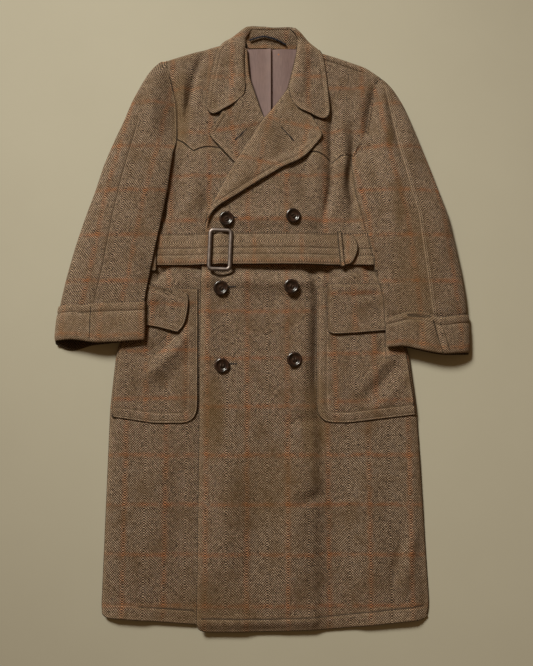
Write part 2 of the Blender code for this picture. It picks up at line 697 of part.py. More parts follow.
def sleeve_ring(row, folded, column):
    """Outer face of one row round a sleeve, from the under seam over the crest and back beneath it.

    A row that ends on the armhole has no fold, so its first points repeat the one on the seam.
    """
    y, outer, seam, inner, crest, rest, floor, drop = row
    width = outer - inner
    seam_share = (seam - inner) / width
    if folded:
        body = abs(read_row(SIDES, y, column)) + BODY_ROOM
        body_share = max(FOLD_BROW, (body - abs(inner)) / abs(width))
        step_share = body_share + STEP_WIDTH / abs(width)
        brow = floor + 2 * EDGE_RISE
        start = [(UNDER_SEAM * body_share, rest), (FOLD_FOOT * body_share, rest), (0.0, rest + EDGE_RISE)]
        start.append((FOLD_BROW, min(rest + 2 * EDGE_RISE, crest)))
        end = [(step_share, floor), (body_share, rest), (UNDER_SEAM * body_share, rest)]
    else:
        armhole = FRONT_REST + TWEED
        brow = min(2 * EDGE_RISE, OUTSIDE_HEIGHT * crest - EDGE_RISE / 2)
        start = [(0.0, armhole)] * (FOLD_SPOTS + 1)
        start.append((CAP_RISE, armhole + CAP_RISE_HEIGHT * (crest - armhole)))
        end = [(2 / 3, floor), (1 / 3, floor), (0.0, floor)]
    middle = [
        ((seam_share + FOLD_BROW) / 2, crest),
        (seam_share, crest),
        ((seam_share + OUTER_FOOT) / 2, OUTSIDE_HEIGHT * crest),
        (OUTER_BROW, brow),
        (1.0, (floor + brow) / 2),
        (OUTER_FOOT, floor),
    ]
    return [(inner + share * width, y + drop * share, z) for share, z in start + middle + end]


def ring_offset(ring, sign, distance):
    """A sleeve row moved outwards by a distance along its own normals."""
    moved = []
    for index, (x, y, z) in enumerate(ring):
        before = next((p for p in ring[index - 1::-1] if (p[0], p[2]) != (x, z)), None) if index else None
        after = next((p for p in ring[index + 1:] if (p[0], p[2]) != (x, z)), None)
        normals = []
        for start, end in ((before, (x, y, z)), ((x, y, z), after)):
            if start and end:
                run = Vector((end[0] - start[0], end[2] - start[2]))
                normals.append(sign * Vector((-run.y, run.x)).normalized())
        normal = sum(normals, Vector((0.0, 0.0)))
        turn = normal.normalized()
        reach = distance / max(SHARPEST, turn.dot(normals[0]))
        moved.append((x + turn.x * reach, y, z + turn.y * reach))
    return moved


def sleeve_piece(name, rings, inner_rings, spots, cap_rows, eases):
    """One cut piece of a sleeve: the stretch of its rows between two seams.

    The spots that fold under are missing from the rows that end on the armhole. Each seam's spot is moved
    aside by its ease, which has one value for the armhole's rows and one for the others.
    """
    under, over, index_of = [], [], {}
    for row, (ring, inner_ring) in enumerate(zip(rings, inner_rings)):
        for spot in spots:
            if spot < FOLD_SPOTS and row < cap_rows:
                continue
            ease = Vector((eases.get(spot, (0.0, 0.0))[row >= cap_rows], 0.0, 0.0))
            index_of[row, spot] = len(over)
            over.append(Vector(ring[spot]) + ease)
            under.append(Vector(inner_ring[spot]) + ease)
    faces = []
    for row in range(len(rings) - 1):
        for spot in spots[:-1]:
            corners = ((row, spot), (row, spot + 1), (row + 1, spot + 1), (row + 1, spot))
            if all(corner in index_of for corner in corners):
                faces.append(tuple(index_of[corner] for corner in corners))
    thicken(name, "tweed", under, over, faces)


def sleeve_cuff(name, rings, sign):
    """A turn-back cuff: the sleeve's last rows moved out by a seam's gap, and one ply thick."""
    rings = rings[:-1] + [[(x, y - CUFF_REACH, z) for x, y, z in rings[-1]]]
    count = len(rings[0]) - 1
    near = [point for ring in rings for point in ring_offset(ring, sign, SEAM)[:count]]
    far = [point for ring in rings for point in ring_offset(ring, sign, PLY)[:count]]
    faces = []
    for row in range(len(rings) - 1):
        this, after = row * count, (row + 1) * count
        for spot in range(count):
            ahead = (spot + 1) % count
            faces.append((this + spot, this + ahead, after + ahead, after + spot))
    thicken(name, "tweed", near, far, faces)


def add_sleeves():
    """Each sleeve as a fore and a hind piece round a flat hollow, with a turn-back cuff."""
    for side, table, column, sign in (("right", SLEEVE_RIGHT, 1, -1.0), ("left", SLEEVE_LEFT, 2, 1.0)):
        cap_rows = CAP_ROWS[side]
        rings = [sleeve_ring(row, index >= cap_rows, column) for index, row in enumerate(table)]
        inner_rings = [ring_offset(ring, sign, -TWEED) for ring in rings]
        last = len(rings[0]) - 1
        half = sign * SEAM / 2
        fore = {TOP_SEAM: (-half, -half), 0: (0.0, -half)}
        hind = {TOP_SEAM: (half, half), last: (2 * half, half)}
        sleeve_piece("sleeve_%s_fore" % side, rings, inner_rings, range(TOP_SEAM + 1), cap_rows, fore)
        sleeve_piece("sleeve_%s_hind" % side, rings, inner_rings, range(TOP_SEAM, last + 1), cap_rows, hind)
        sleeve_cuff("cuff_" + side, rings[-CUFF_ROWS:], sign)


clear_scene()
add_body()
add_collar()
add_pockets()
add_belt()
add_buckle()
add_buttons()
add_sleeves()
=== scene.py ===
"""Looks of a belted double-breasted tweed overcoat, buttoned and laid flat on its back.

The coat is laid piece by piece, from the run of the belt beneath the back up to the buckle. Each flat piece
takes its outline from its node of the frame, is set down on the height of what already lies there, bridges
the edges beneath it as stiff tweed does, and gets its folds, rolled edges and stitching. The sleeves are
flattened tubes on top. Sizes are in millimetres, and left and right are the wearer's: left is at +X.
"""

import math

import bmesh
import bpy
import numpy as np
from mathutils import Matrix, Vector
from mathutils.geometry import delaunay_2d_cdt
from mathutils.kdtree import KDTree


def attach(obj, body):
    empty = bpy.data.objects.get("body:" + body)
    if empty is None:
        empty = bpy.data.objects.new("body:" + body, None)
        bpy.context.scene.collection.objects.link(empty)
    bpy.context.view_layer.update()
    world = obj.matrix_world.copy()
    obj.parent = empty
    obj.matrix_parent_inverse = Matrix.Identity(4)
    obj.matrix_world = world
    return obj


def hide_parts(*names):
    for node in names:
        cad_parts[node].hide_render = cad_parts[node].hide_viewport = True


MM = 0.001
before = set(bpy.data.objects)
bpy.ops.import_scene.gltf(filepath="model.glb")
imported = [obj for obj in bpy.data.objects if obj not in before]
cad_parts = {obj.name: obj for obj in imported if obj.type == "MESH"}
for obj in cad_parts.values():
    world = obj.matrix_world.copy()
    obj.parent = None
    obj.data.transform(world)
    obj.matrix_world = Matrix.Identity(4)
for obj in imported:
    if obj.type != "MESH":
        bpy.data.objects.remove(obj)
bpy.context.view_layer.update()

# Points closer than this are one point
MERGE = 1e-5

# Cloth: thickness of the tweed, of a sleeve's wall, of the lining and of the ribbon, and air between layers
TWEED = 2.4
SLEEVE_WALL = 2.0
SATIN = 1.0
RIBBON = 1.2
GAP = 0.3

# The grid on which heights of what has been laid are kept: size of a cell, and half its width and length
CELL = 2.0
BED_X = 430.0
BED_Y = 620.0
# Cells that stiff cloth bridges in one step, and cells round a piece that are shaped with it
BRIDGE_CELLS = 2
NEAR_CELLS = 4

# Outlines: spacing of their points, angles of a corner and of the least bend, and how far bends are eased
FINE = 1.0
SHARP = math.radians(34.0)
SLIGHT = math.radians(1.2)
CURVE_EASE = 9.0
CORNER_EASE = 1.4

# Sheets: points along an edge and along rows of stitches, and how round an edge is for its thickness
EDGE_SPACING = 3.0
EDGE_RINGS = (0.8, 1.8, 3.2, 5.0, 7.2)
RING_CLEAR = 0.9
ROW_RINGS = (-2.4, -1.2, 0.0, 1.2, 2.4)
ROW_CLEAR = 3.2
EDGE_ROUND = 0.75
# Least thickness where an edge rolls over and at the edge itself, and least size and fill of a cut
LEAST_THICK = 0.3
LEAST_EDGE = 0.1
LEAST_CUT = 10.0
LEAST_FILL = 0.301

# Stitches: pitch, length, width and height of one, and the rings that shape it as shares of length and girth
STITCH_PITCH = 4.0
STITCH_LENGTH = 2.9
STITCH_WIDTH = 0.75
STITCH_HEIGHT = 0.5
STITCH_SIDES = 5
STITCH_RINGS = ((-0.5, 0.0), (-0.34, 0.8), (0.0, 1.0), (0.34, 0.8), (0.5, 0.0))
# Least girth at a stitch's tips, how far they dip, and how far ahead its direction is read
STITCH_TIP = 0.15
STITCH_DIP = 0.35
STITCH_AHEAD = 0.5
# How far a stitch's middle stands above the foot of its groove, a sleeve's seam and a cuff
STITCH_PROUD = 0.15
SEAM_PROUD = 0.05
CUFF_PROUD = 0.1

# The groove that a row of stitches pulls
GROOVE_DEPTH = 1.3
GROOVE_REACH = 1.4

# Wear and painted shade, one value per point: 0 plain, about 0.5 a pale strip that is partly wear and partly
# painted highlight, 0.8 and more painted shade: reaches and strengths
EDGE_WEAR_AND_SHADE_REACH = 3.6
# Painted shade in the groove that a row of stitches pulls
GROOVE_SHADE = 0.84
SHADE_STRENGTH = 0.78
SHADE_REACH = 4.0
SLEEVE_SHADE = 5.2

# Distances of rows of stitches from an edge
WELT = 9.5
EDGE_ROW = 4.2
POCKET_ROW = 19.0
SHOULDER_ROW = 13.0
BELT_ROWS = (19.5, 32.5)
BELT_EDGE_ROW = 3.4
KEEPER_ROW = 2.4
# Owners whose thread is drawn pale: partly the thread's colour, partly painted highlight along the seam's
# ridge
PALE_ROWS = ("sleeve_left_hind",)

# Grain of a piece: turn in degrees, and the overcheck's start across and along
PLAIN = (0.0, 0.0, 0.0)
BODY_GRAIN = (0.0, -27.0, 1.0)
BELT_GRAIN = (90.0, 0.0, 0.0)
# Shift of the overcheck round and along a sleeve and a cuff
SLEEVE_GRAIN = (22.0, 31.0)
CUFF_GRAIN = (8.0, 60.0)

# Folds of the fronts and yokes: places along each, reach to a side, height (a trough's is negative)
BODY_FOLDS = (
    (((136, 430), (136, 347), (136, 295), (134, 250), (128, 218), (120, 186), (114, 150)), 6.5, -8.5),
    (((110, 400), (108, 330), (108, 260), (100, 196)), 15, 6.5),
    (((158, 420), (158, 350), (160, 296), (152, 232), (142, 190)), 11, 7),
    (((180, 372), (177, 308), (170, 268), (170, 250), (176, 225), (174, 186), (160, 166)), 7.5, -9),
    (((206, 462), (196, 420), (186, 372)), 14, 4),
    (((231, 458), (222, 440), (213, 400), (208, 365), (204, 325)), 9, -7),
    (((-200, 512), (-188, 485), (-174, 453), (-165, 425), (-163, 385), (-164, 330)), 7, -8.5),
    (((-158, 500), (-154, 450), (-155, 400)), 8, 4),
    (((-110, 536), (-121, 509), (-132, 474), (-140, 442), (-147, 405), (-154, 350)), 8.5, -9.5),
    (((-126, 500), (-128, 450), (-124, 400)), 13, 4),
    (((-156, 320), (-160, 260), (-168, 176)), 13, -4),
    (((-132, 310), (-128, 250), (-134, 180)), 17, 4),
    (((-96, 250), (-108, 220), (-112, 176)), 9, -3),
    (((-150, 184), (-60, 180), (40, 184), (150, 182)), 16, 3),
    (((-192, 250), (-189, 210), (-184, 166)), 5, -6),
    (((-196, 86), (-90, 82), (20, 82), (130, 84), (206, 84)), 11, -2),
    (((-190, 58), (-90, 62), (20, 54), (130, 60), (200, 54)), 13, 4),
    (((84, 88), (98, 72), (108, 46)), 8, -6.5),
    (((118, 88), (131, 72), (142, 55)), 7, -6),
    (((192, 92), (212, 80), (230, 64)), 8, -7.5),
    (((112, 74), (118, 60), (120, 44)), 6, 2.5),
    (((156, 72), (174, 64), (190, 66)), 10, 3),
    (((-128, 74), (-140, 52), (-132, 24)), 8, -3),
    (((-178, 90), (-190, 74), (-206, 56)), 8, -6),
    (((-84, 88), (-76, 70), (-80, 48)), 12, -3.5),
    (((-290, 58), (-240, 54), (-180, 50), (-120, 44)), 26, 5),
    (((90, 46), (150, 52), (210, 54), (270, 56)), 26, 4),
    (((-40, 74), (-34, 40), (-44, 0)), 10, 2),
    (((20, 70), (26, 36), (18, -10)), 9, -2),
    (((102, 66), (104, -5), (103, -56), (101, -110), (101, -150), (106, -190)), 8, -7),
    (((98, -176), (108, -212), (112, -280)), 9, -3),
    (((76, 40), (80, -30), (74, -120), (78, -180)), 12, 2.5),
    (((40, -214), (81, -201), (108, -212)), 9, -3),
    (((56, -362), (89, -347), (122, -330)), 10, -3),
    (((-96, 66), (-100, 10), (-98, -60), (-100, -140)), 10, 2.5),
    (((60, -230), (70, -300), (64, -420), (72, -540)), 30, 4),
    (((128, -290), (134, -400), (140, -540)), 20, -3),
    (((190, -250), (196, -380), (205, -540)), 30, 4.5),
    (((-205, -250), (-206, -380), (-210, -540)), 32, 4.5),
    (((-116, -20), (-113, -140), (-114, -312), (-117, -440), (-118, -560)), 13, -2.5),
    (((-150, -240), (-152, -360), (-148, -520)), 18, -2.5),
    (((-66, -220), (-60, -330), (-66, -500)), 26, 3),
    (((-14, -300), (-10, -400), (-18, -520)), 16, -2),
    (((286, -378), (268, -450), (252, -526)), 11, 5),
    (((262, -392), (246, -460), (234, -520)), 10, -3.5),
    (((282, -236), (284, -330), (288, -400)), 12, 2.5),
)
# Folds give way towards their ends: the share of the length over which that comes about, and what is left
FOLD_TAPER = 0.3
FOLD_END = 0.15

# Air beneath the fronts and yokes: its height, the edges where it ends, and over what width it gives way
BODY_LOFT = 5.0
LOFT_RIGHT = -288.0
LOFT_LEFT = 300.0
LOFT_FOOT = -590.0
LOFT_EASE = 26.0

# Hems of the fronts: x and y along the edge, how far up the hem is turned, how far up the painted shade along
# its tuck runs, and what the turning adds
HEM_EDGE = (
    (-290, -556), (-122, -567), (-117, -580), (0, -581), (123, -577), (300, -559),
)
HEM_DEPTH = 24.0
HEM_SHADE = 23.2
HEM_PLY = 0.3
HEM_EASE = 4.0
HEM_STEP = 4.0
# Ripples along the hem's stitches: height, reach up and down, and waves of two lengths along the hem
RIPPLE_HEIGHT = 0.7
RIPPLE_REACH = 9.0
RIPPLE_LENGTH = 13.0
RIPPLE_DRIFT = 2.0
DRIFT_LENGTH = 41.0

# Lining: where its right half laps over the pleat, height of the lap and of the hollow beside it, and waves
PLEAT_CREST = 17.0
PLEAT_EDGE = 19.0
PLEAT_LAP = 4.6
PLEAT_HOLLOW = 1.4
PLEAT_REACH = 8.0
LINING_LOFT = 1.5
LINING_WAVE = 0.6
LINING_WAVES = (7.5, 60.0)

# Neck facing: where it begins to lean up, the depth and rise; middle, reach and height of its ridge
FACING_FOOT = 532.0
FACING_DEPTH = 36.0
FACING_RISE = 9.0
FACING_RIDGE = (6.0, 7.0, 1.5)
# How far the hanger loop stands off the facing
HANGER_LOFT = 2.0

# Lapels: middle, reach and height of the right one's swell, and place and normal of the left one's roll
LAPEL_MIDDLE = (-30.0, 360.0)
LAPEL_REACH = (30.0, 40.0)
LAPEL_SWELL = 1.5
ROLL_PLACE = (-15.0, 356.0)
ROLL_NORMAL = (0.83, -0.56)
# Distance of the left lapel's swell from its roll, its reach and its height
ROLL_AWAY = 26.0
ROLL_REACH = 18.0
ROLL_SWELL = 2.0
LAPEL_FOLDS = (
    (((110, 372), (98, 344), (74, 326), (40, 311), (0, 290)), 5, -1.8),
    (((20, 280), (-20, 258), (-60, 232)), 5, -1.2),
)

# Collar: its outline, both leaves and the fold across the back in one
COLLAR = (
    (122, 381.5), (127, 383), (131, 387), (133, 393), (133.5, 404), (128, 470), (122, 514), (114, 530),
    (88, 555), (66, 576), (50, 578.5), (20, 576.5), (-8, 579.5), (-28, 580), (-50, 566), (-80, 545),
    (-91, 526), (-102, 468), (-109, 412), (-109, 405), (-107, 399), (-103, 394.5), (-97.5, 392),
    (-92, 392.5), (-62, 408), (-34, 432), (-31, 456), (-34, 508), (-30, 556), (-20, 570.5), (30, 569),
    (56, 571), (69, 557), (69, 530), (62, 492), (51, 446), (58, 418), (72, 402), (98, 390), (116, 382),
)
COLLAR_FOLDS = (
    (((96, 506), (92, 460), (84, 420)), 9, -2.6),
    (((112, 500), (110, 460), (104, 420)), 9, 2),
    (((78, 520), (74, 470), (66, 430)), 10, 1.8),
    (((-58, 520), (-62, 470), (-70, 420)), 11, -1.8),
    (((-84, 500), (-88, 460), (-90, 420)), 9, 1.6),
    (((-44, 500), (-42, 460), (-46, 436)), 8, 1.6),
)
# Its edge on the right yoke, which it shades
LEAF_EDGE = ((-95, 514), (-104.5, 468), (-111.5, 412), (-110.5, 404))
# Where it is sewn to the lapels, over what reach, and how far it is held down there
GORGES = ((-44, 430), (60, 420))
GORGE_REACH = (13.0, 13.0)
GORGE_DEPTH = 2.3
# The neck's middle and its two edges, between which it is open
NECK_MIDDLE = 20.0
NECK_RIGHT = -31.0
NECK_LEFT = 66.0
# Swell of the roll: distance from the neck's edge, reach and height, and where it grows up the leaves
LEAF_AWAY = 18.0
LEAF_REACH = 18.0
LEAF_SWELL = 4.0
LEAF_FOOT = 420.0
LEAF_LENGTH = 90.0
# The back lies almost flush with the facing: from where, between which edges, and how far it is let down
FLUSH_FOOT = 556.0
FLUSH_DEPTH = 10.0
FLUSH_RIGHT = -32.0
FLUSH_LEFT = 70.0
FLUSH_EASE = 12.0
FLUSH_DROP = 2.0

# Pockets: middle of the left one's slack (the right one's is mirrored), its reach and height
POCKET_X = 195.0
POCKET_Y = -110.0
POCKET_REACH = (50.0, 60.0)
POCKET_SLACK = 2.2
POCKET_FOLDS = (
    (((-146, -26), (-188, -66), (-236, -96)), 15, -5),
    (((-124, -22), (-168, -76), (-222, -134)), 11, 5.5),
    (((-122, -76), (-164, -116), (-208, -158)), 14, -3.6),
    (((-234, -116), (-230, -150), (-226, -188)), 9, -2.4),
    (((-172, -124), (-180, -156), (-174, -190)), 9, -2.2),
    (((256, -66), (218, -113), (176, -156)), 14, 3.4),
    (((264, -82), (222, -136), (176, -176)), 14, -4.2),
    (((276, -112), (244, -156), (208, -190)), 10, 3),
    (((232, -50), (228, -66), (226, -84)), 8, -5),
    (((150, -60), (146, -110), (150, -160)), 12, 1.6),
)
FLAP_FOLDS = (
    (((-244, 54), (-212, 44), (-178, 36), (-150, 30)), 5, -3.6),
    (((-182, 44), (-176, 28), (-178, 6)), 4.5, -2.6),
    (((-218, 22), (-200, 26), (-190, 18)), 8, 2),
    (((-164, 44), (-160, 24), (-164, 6)), 7, 1.8),
    (((230, 36), (180, 30), (150, 34)), 6, -2),
    (((226, 18), (190, 16), (160, 20)), 7, 1.4),
)
FLAP_RIGHT = (
    (-254, -20), (-219, -25), (-196, -29), (-169, -36), (-158, -38.5), (-150, -31), (-145, -22),
    (-141, -6), (-138.5, 14), (-138.5, 30), (-141, 36), (-151, 38.5), (-170, 42), (-190, 48),
    (-213, 51.5), (-238, 54),
)

# Belt: y of its edges, how much paler it is drawn as if better lit (painted light), and how it lies
BELT_LOW = 90.0
BELT_HIGH = 152.0
BELT_LIT_PALE = 0.30
BELT_LOFT = 0.6
# Where the base and the tail begin to stand off towards the lower edge, over what width and how far
BASE_LIFT = (116.0, 26.0, 0.8)
TAIL_LIFT = (108.0, 20.0, 0.5)
# Length and height of slow waves along the base and the tail
BASE_WAVE = (27.0, 0.5)
TAIL_WAVE = (31.0, 0.4)
# The tail in the buckle: x of the window and of the bars, reach, rise in the window and drop beneath the bars
WINDOW_X = -79.5
BARS_X = (-98.0, -60.0)
BAR_REACH = 9.0
WINDOW_RISE = 3.0
BAR_DROP = 1.0
LOOP_LEFT = ((214, 79), (223, 79), (223, 164), (214, 164))

# Sleeves, from the shoulder down
# y, outer edge x, top seam x, inner edge x, height of the crest
SLEEVE_RIGHT = (
    (505, -203, -199.5, -192, 7),
    (498, -212, -206, -195.5, 9.5),
    (487, -221, -215, -191, 13),
    (465, -233.5, -225, -182.6, 17),
    (420, -256.5, -233.5, -171.6, 21),
    (380, -271, -241.5, -169.6, 22),
    (344, -287, -250, -167.6, 23),
    (290, -308, -263, -176, 25),
    (237, -323, -276, -182, 26),
    (184, -341, -285, -192, 27),
    (123, -359, -295, -203, 28),
    (66, -373, -305, -214, 28),
    (15, -383, -316, -222, 27),
    (-20, -386, -320, -222, 26.5),
    (-70, -389, -323, -222, 26),
)
SLEEVE_LEFT = (
    (468, 240, 237, 234.6, 8),
    (460, 249, 239, 229, 12),
    (451, 256, 240.5, 222.6, 15),
    (414, 278, 248, 217.8, 20),
    (382, 291, 255, 213.6, 21),
    (356, 301, 260, 206.6, 22),
    (310, 318, 269, 176.6, 23),
    (285, 327, 275.5, 178, 24.5),
    (236, 344, 286, 184, 26),
    (190, 360, 299, 195, 27),
    (139, 370, 304, 207, 28),
    (80, 381, 311, 219, 28),
    (28, 388, 317, 232, 27),
    (-20, 389.5, 322, 236, 26.5),
    (-90, 389.5, 326, 237, 26),
)
# Sections down a sleeve: their spacing, how far the table's rows are eased, and points above and beneath
SLEEVE_STEP = 4.0
SLEEVE_EASE = 14.0
SLEEVE_COLUMNS = 100
UNDER_COLUMNS = 30
# Points close beside the top seam, how far the others stay clear of it, and the width that both are meant for
SEAM_COLUMNS = (-11.0, -8.0, -6.0, -4.5, -3.2, -2.0, -1.0, -0.1)
SEAM_CLEAR = 12.5
SLEEVE_WIDTH = 160.0
# Share of the width at which the top seam's points are, and of the underside at which the other seam is
NOMINAL_SEAM = 0.62
UNDER_SEAM_SHARE = 0.3
# Height of the folded edges, and the crest from which it is full
EDGE_HEIGHT = 7.0
FULL_CREST = 16.0
# How round a section is: above, beneath, and where it rises from the armhole
TOP_ROUND = 2.3
UNDER_ROUND = 6.0
ARMHOLE_ROUND = 0.8
# Cells over which the height beneath a sleeve is averaged, in two passes
SUPPORT_CELLS = (4, 3)
# Distance of the underside from what it lies on, and of the sewn edge from the body
UNDER_RISE = 0.4
SEWN_RISE = 0.2
# Length round a section from its last point to its first
SECTION_CLOSE = 2.0
# Where the inner edge turns from a sewn armhole into a fold, over what length, and how far above it begins
FOLD_STARTS = {"right": 340.0, "left": 312.0}
FOLD_GROWTH = 46.0
FOLD_AHEAD = 10.0
# How far the cap laps over the body, and how far in its edge looks for the height that it is set on
CAP_LAP = 3.0
ARMHOLE_STEPS = {"right": (1.0, 4.0, 7.0), "left": (1.0,)}
# Painted shade along the armhole seam: strength and reach, where it ends below the fold's start and begins at
# the top
ARMHOLE_SHADE = {"right": 0.95, "left": 0.0}
ARMHOLE_REACH = 3.4
ARMHOLE_END = 20.0
ARMHOLE_START = 6.0
ARMHOLE_EASE = 34.0
# Top seams: y from which they show, rise of the lap beside them, depth of the groove, rows of stitches beside
SEAMS = {"right": (415.0, 0.3, 0.9, (2.2,)), "left": (470.0, 1.5, 0.8, (1.5, 5.5))}
SEAM_FADE = 45.0
# Strength of the painted shade along each top seam's groove
SEAM_SHADE = {"right": 0.92, "left": 0.74}
# The lap: width of the step up to it, where it ends, and over what width it falls there
LAP_STEP = 0.8
LAP_END = 9.0
LAP_FALL = 3.0
# Reach of the seam's groove, and reach and share of the depth of its rows' grooves
SEAM_GROOVE = 1.3
SEAM_ROW_GROOVE = 1.1
SEAM_ROW_SHARE = 0.5
SLEEVE_FOLDS = {
    "right": (
        (((-222, 462), (-214, 400), (-206, 350)), 13, 4),
        (((-258, 400), (-240, 330), (-216, 280)), 16, -3),
        (((-302, 250), (-270, 214), (-228, 190)), 18, -3),
        (((-318, 226), (-284, 178), (-240, 150)), 20, 3),
        (((-350, 110), (-300, 84), (-250, 76)), 20, -2),
        (((-236, 130), (-238, 70), (-240, 20)), 14, 2.5),
    ),
    "left": (
        (((244, 448), (250, 416), (258, 376), (264, 340), (274, 296)), 9, -6.5),
        (((238, 440), (234, 400), (234, 360), (242, 310)), 10, 4.5),
        (((284, 404), (288, 360), (293, 316)), 10, 3),
        (((206, 352), (212, 310), (226, 258)), 12, -4),
        (((240, 300), (248, 250), (256, 190)), 17, 3.5),
        (((220, 268), (228, 220), (240, 150)), 11, -3),
        (((300, 330), (312, 270), (326, 220)), 15, -3),
        (((330, 236), (342, 180), (350, 120)), 16, 3),
        (((262, 150), (274, 100), (280, 40)), 16, -3),
        (((344, 100), (352, 50), (356, 10)), 14, -2.5),
    ),
}
# A sleeve's foot is tucked beneath its cuff: how far it runs on, the tuck's start, depth and length
FOOT_BELOW = 14.0
TUCK_BELOW = 2.0
FOOT_TUCK = 2.8
TUCK_LENGTH = 8.0

# Cuffs: y of the top edge, and a section through the cloth as distance below it and offset from the sleeve
CUFF_TOPS = {"right": 15.0, "left": 0.0}
CUFF_SECTION = (
    (0, -0.6), (0.3, 1.2), (1.1, 2.6), (2.6, 3.3), (6, 3.6), (11, 3.7), (14.2, 3.4), (15.6, 2.5),
    (16.4, 2.2), (17.2, 2.5), (18.6, 3.4), (23, 3.9), (32, 4.1), (44, 4.1), (56, 3.9), (65, 3.6),
    (69, 2.9), (71.2, 1.6), (72, 0), (71.2, -1.6), (68, -2.8), (56, -3.4), (40, -3.6),
)
# Length of a cuff, and its least height above the floor
CUFF_LENGTH = 72.0
CUFF_LEAST = 0.15
# Distance of the stitched row below the top edge, and how many points at its ends stay without stitches
CUFF_ROW = 16.4
CUFF_ROW_ENDS = 2
# How much paler a whole cuff is drawn as if better lit (painted light), and how strong the painted shade at
# its foot is
CUFF_LIT_PALE = {"right": 0.30, "left": 0.08}
CUFF_FOOT_SHADE = 0.85
# Length round a cuff from its last point to its first
CUFF_CLOSE = 4.0
# Edges of the cuffs as x, y: top and foot of the upper side, and the lip of the side beneath
CUFF_EDGES = {
    "right": {
        "top": ((-390, 12), (-352, 15), (-336, 11), (-320, 15), (-300, 16), (-222, 19)),
        "foot": ((-392, -55), (-354, -53), (-311, -60), (-264, -58), (-221, -55)),
        "lip": ((-392, -58), (-374, -69), (-356, -73), (-338, -67), (-312, -59), (-221, -54)),
    },
    "left": {
        "top": ((234, -13), (274, 0), (306, 0), (332, -13), (362, -7), (392, -4)),
        "foot": ((234, -68), (267, -66), (313, -77), (341, -81), (394, -77)),
        "lip": ((234, -66), (267, -64), (313, -75), (341, -80), (394, -80)),
    },
}
# Places beside a point of an edge over which its corners are blended
EDGE_BLEND = (-8.0, -4.0, 0.0, 4.0, 8.0)
CUFF_FOLDS = {
    "right": (
        (((-358, 15), (-345, 2), (-334, -9)), 3.5, -2.4),
        (((-366, 12), (-354, 0), (-348, -12)), 5, 1.4),
        (((-328, 8), (-326, -18), (-326, -50)), 4, -1.6),
        (((-317, 10), (-315, -18), (-314, -50)), 2.4, 1.4),
        (((-282, -18), (-276, -36), (-280, -56)), 9, -1.3),
        (((-250, 6), (-246, -26), (-252, -52)), 10, 1.2),
        (((-372, -16), (-366, -34), (-372, -52)), 8, -1.4),
    ),
    "left": (
        (((272, -7), (294, -9), (318, -12)), 4.5, -4),
        (((294, -26), (295, -46), (293, -68)), 4, -3.6),
        (((322, -20), (329, -47), (338, -78)), 3.2, -4.2),
        (((331, -20), (339, -47), (348, -74)), 3.6, 3),
        (((310, -18), (316, -50), (322, -72)), 5, 1.6),
        (((262, -18), (262, -44), (256, -64)), 8, 1.6),
        (((366, -14), (364, -44), (370, -72)), 9, -1.6),
    ),
}
# Creases of the cuffs that lie in shade: places along each, reach to a side, strength
CUFF_SHADES = {
    "right": (
        (((-320, 8), (-321, -20), (-321, -54)), 3.2, 0.82),
    ),
    "left": (
        (((274, -8), (294, -9), (314, -11)), 7.5, 0.83),
        (((321, -18), (328, -47), (337, -78)), 3.2, 0.86),
        (((332, -20), (342, -47), (350, -76)), 3, 0.86),
    ),
}
# How far the shaded line on the left front stays from the sleeve's edge and from the cuff's
SLEEVE_CLEAR = 2.4
CUFF_CLEAR = 4.0

# Buttons: x and y of each, and radii and heights of the turned form
BUTTONS = ((-67, 179), (60, 185), (-77, 45), (56, 47), (-74, -102), (61, -91))
BUTTON_PROFILE = (
    (0, 0), (9, 0), (12.4, 0.5), (13.8, 1.6), (14.2, 2.8), (13.8, 3.9), (12.9, 4.7), (11.6, 5),
    (10.3, 4.7), (9.3, 3.9), (8.6, 2.9), (7.6, 2.2), (5, 2), (0, 2),
)
# Steps round it, angle from which its edges stay sharp, and turn in degrees from one button to the next
BUTTON_STEPS = 56
BUTTON_CREASE = math.radians(32.0)
BUTTON_TURN = 17.0
# Radius of the ring of places that a button rests on, how many there are, and how far it is pressed in
BUTTON_REST = 9.0
BUTTON_RESTS = 12
BUTTON_SINK = 0.4
# Holes and thread of a button
HOLE_RADIUS = 1.25
HOLE_SPACING = 2.5
HOLE_SIDES = 20
HOLE_DEPTH = 12.0
THREAD_RADIUS = 0.75
THREAD_HEIGHT = 1.6
THREAD_SCALE = (1.0, 1.6, 0.8)
THREAD_STEPS = 24
THREAD_SIDES = 8

# Buttonholes: start and end of each slit, and radius of its lip at both
BUTTONHOLES = (
    ((-51, 341), (-30, 361), 1, 0.45),
    ((38, 365), (62, 339), 0.45, 0.95),
    ((-66, 181), (-48, 181.5), 1.2, 0.8),
    ((-76, 47), (-49, 47.5), 1.2, 0.7),
    ((-73, -99), (-46, -98.5), 1.2, 0.7),
)
# Half width of a slit, steps round its ends, sides, rise and flatness of its lip, and its top and foot
HOLE_HALF = 0.5
END_STEPS = 5
LIP_SIDES = 6
LIP_RISE = 0.1
LIP_FLAT = 0.6
SLIT_TOP = 0.1
SLIT_FOOT = -0.6

# Buckle: centre, outer and window sizes, thickness of the bars, corners and turn
BUCKLE_CENTRE = (-79.0, 117.5)
BUCKLE_OUTER = (47.0, 83.0)
BUCKLE_WINDOW = (31.5, 67.5)
BUCKLE_THICK = 5.6
BUCKLE_CORNER = 6.5
BUCKLE_TILT = math.radians(-2.0)
CORNER_STEPS = 8
BAR_STEPS = 6
# Places that the bars rest on, from the centre, and how far they are pressed in
BUCKLE_RESTS_X = (-20.0, 20.0)
BUCKLE_RESTS_Y = (-24.0, 0.0, 24.0)
BUCKLE_SINK = 0.6

# The weave: width of a herringbone column, pitch of the twill across and along, and the overcheck's repeat
HERRINGBONE = 37.4
TWILL_ACROSS = 4.4
TWILL_ALONG = 4.5
CHECK_ACROSS = 74.8
CHECK_ALONG = 89.3
CHECK_WIDTH = 9.0
CHECK_HEIGHT = 7.0
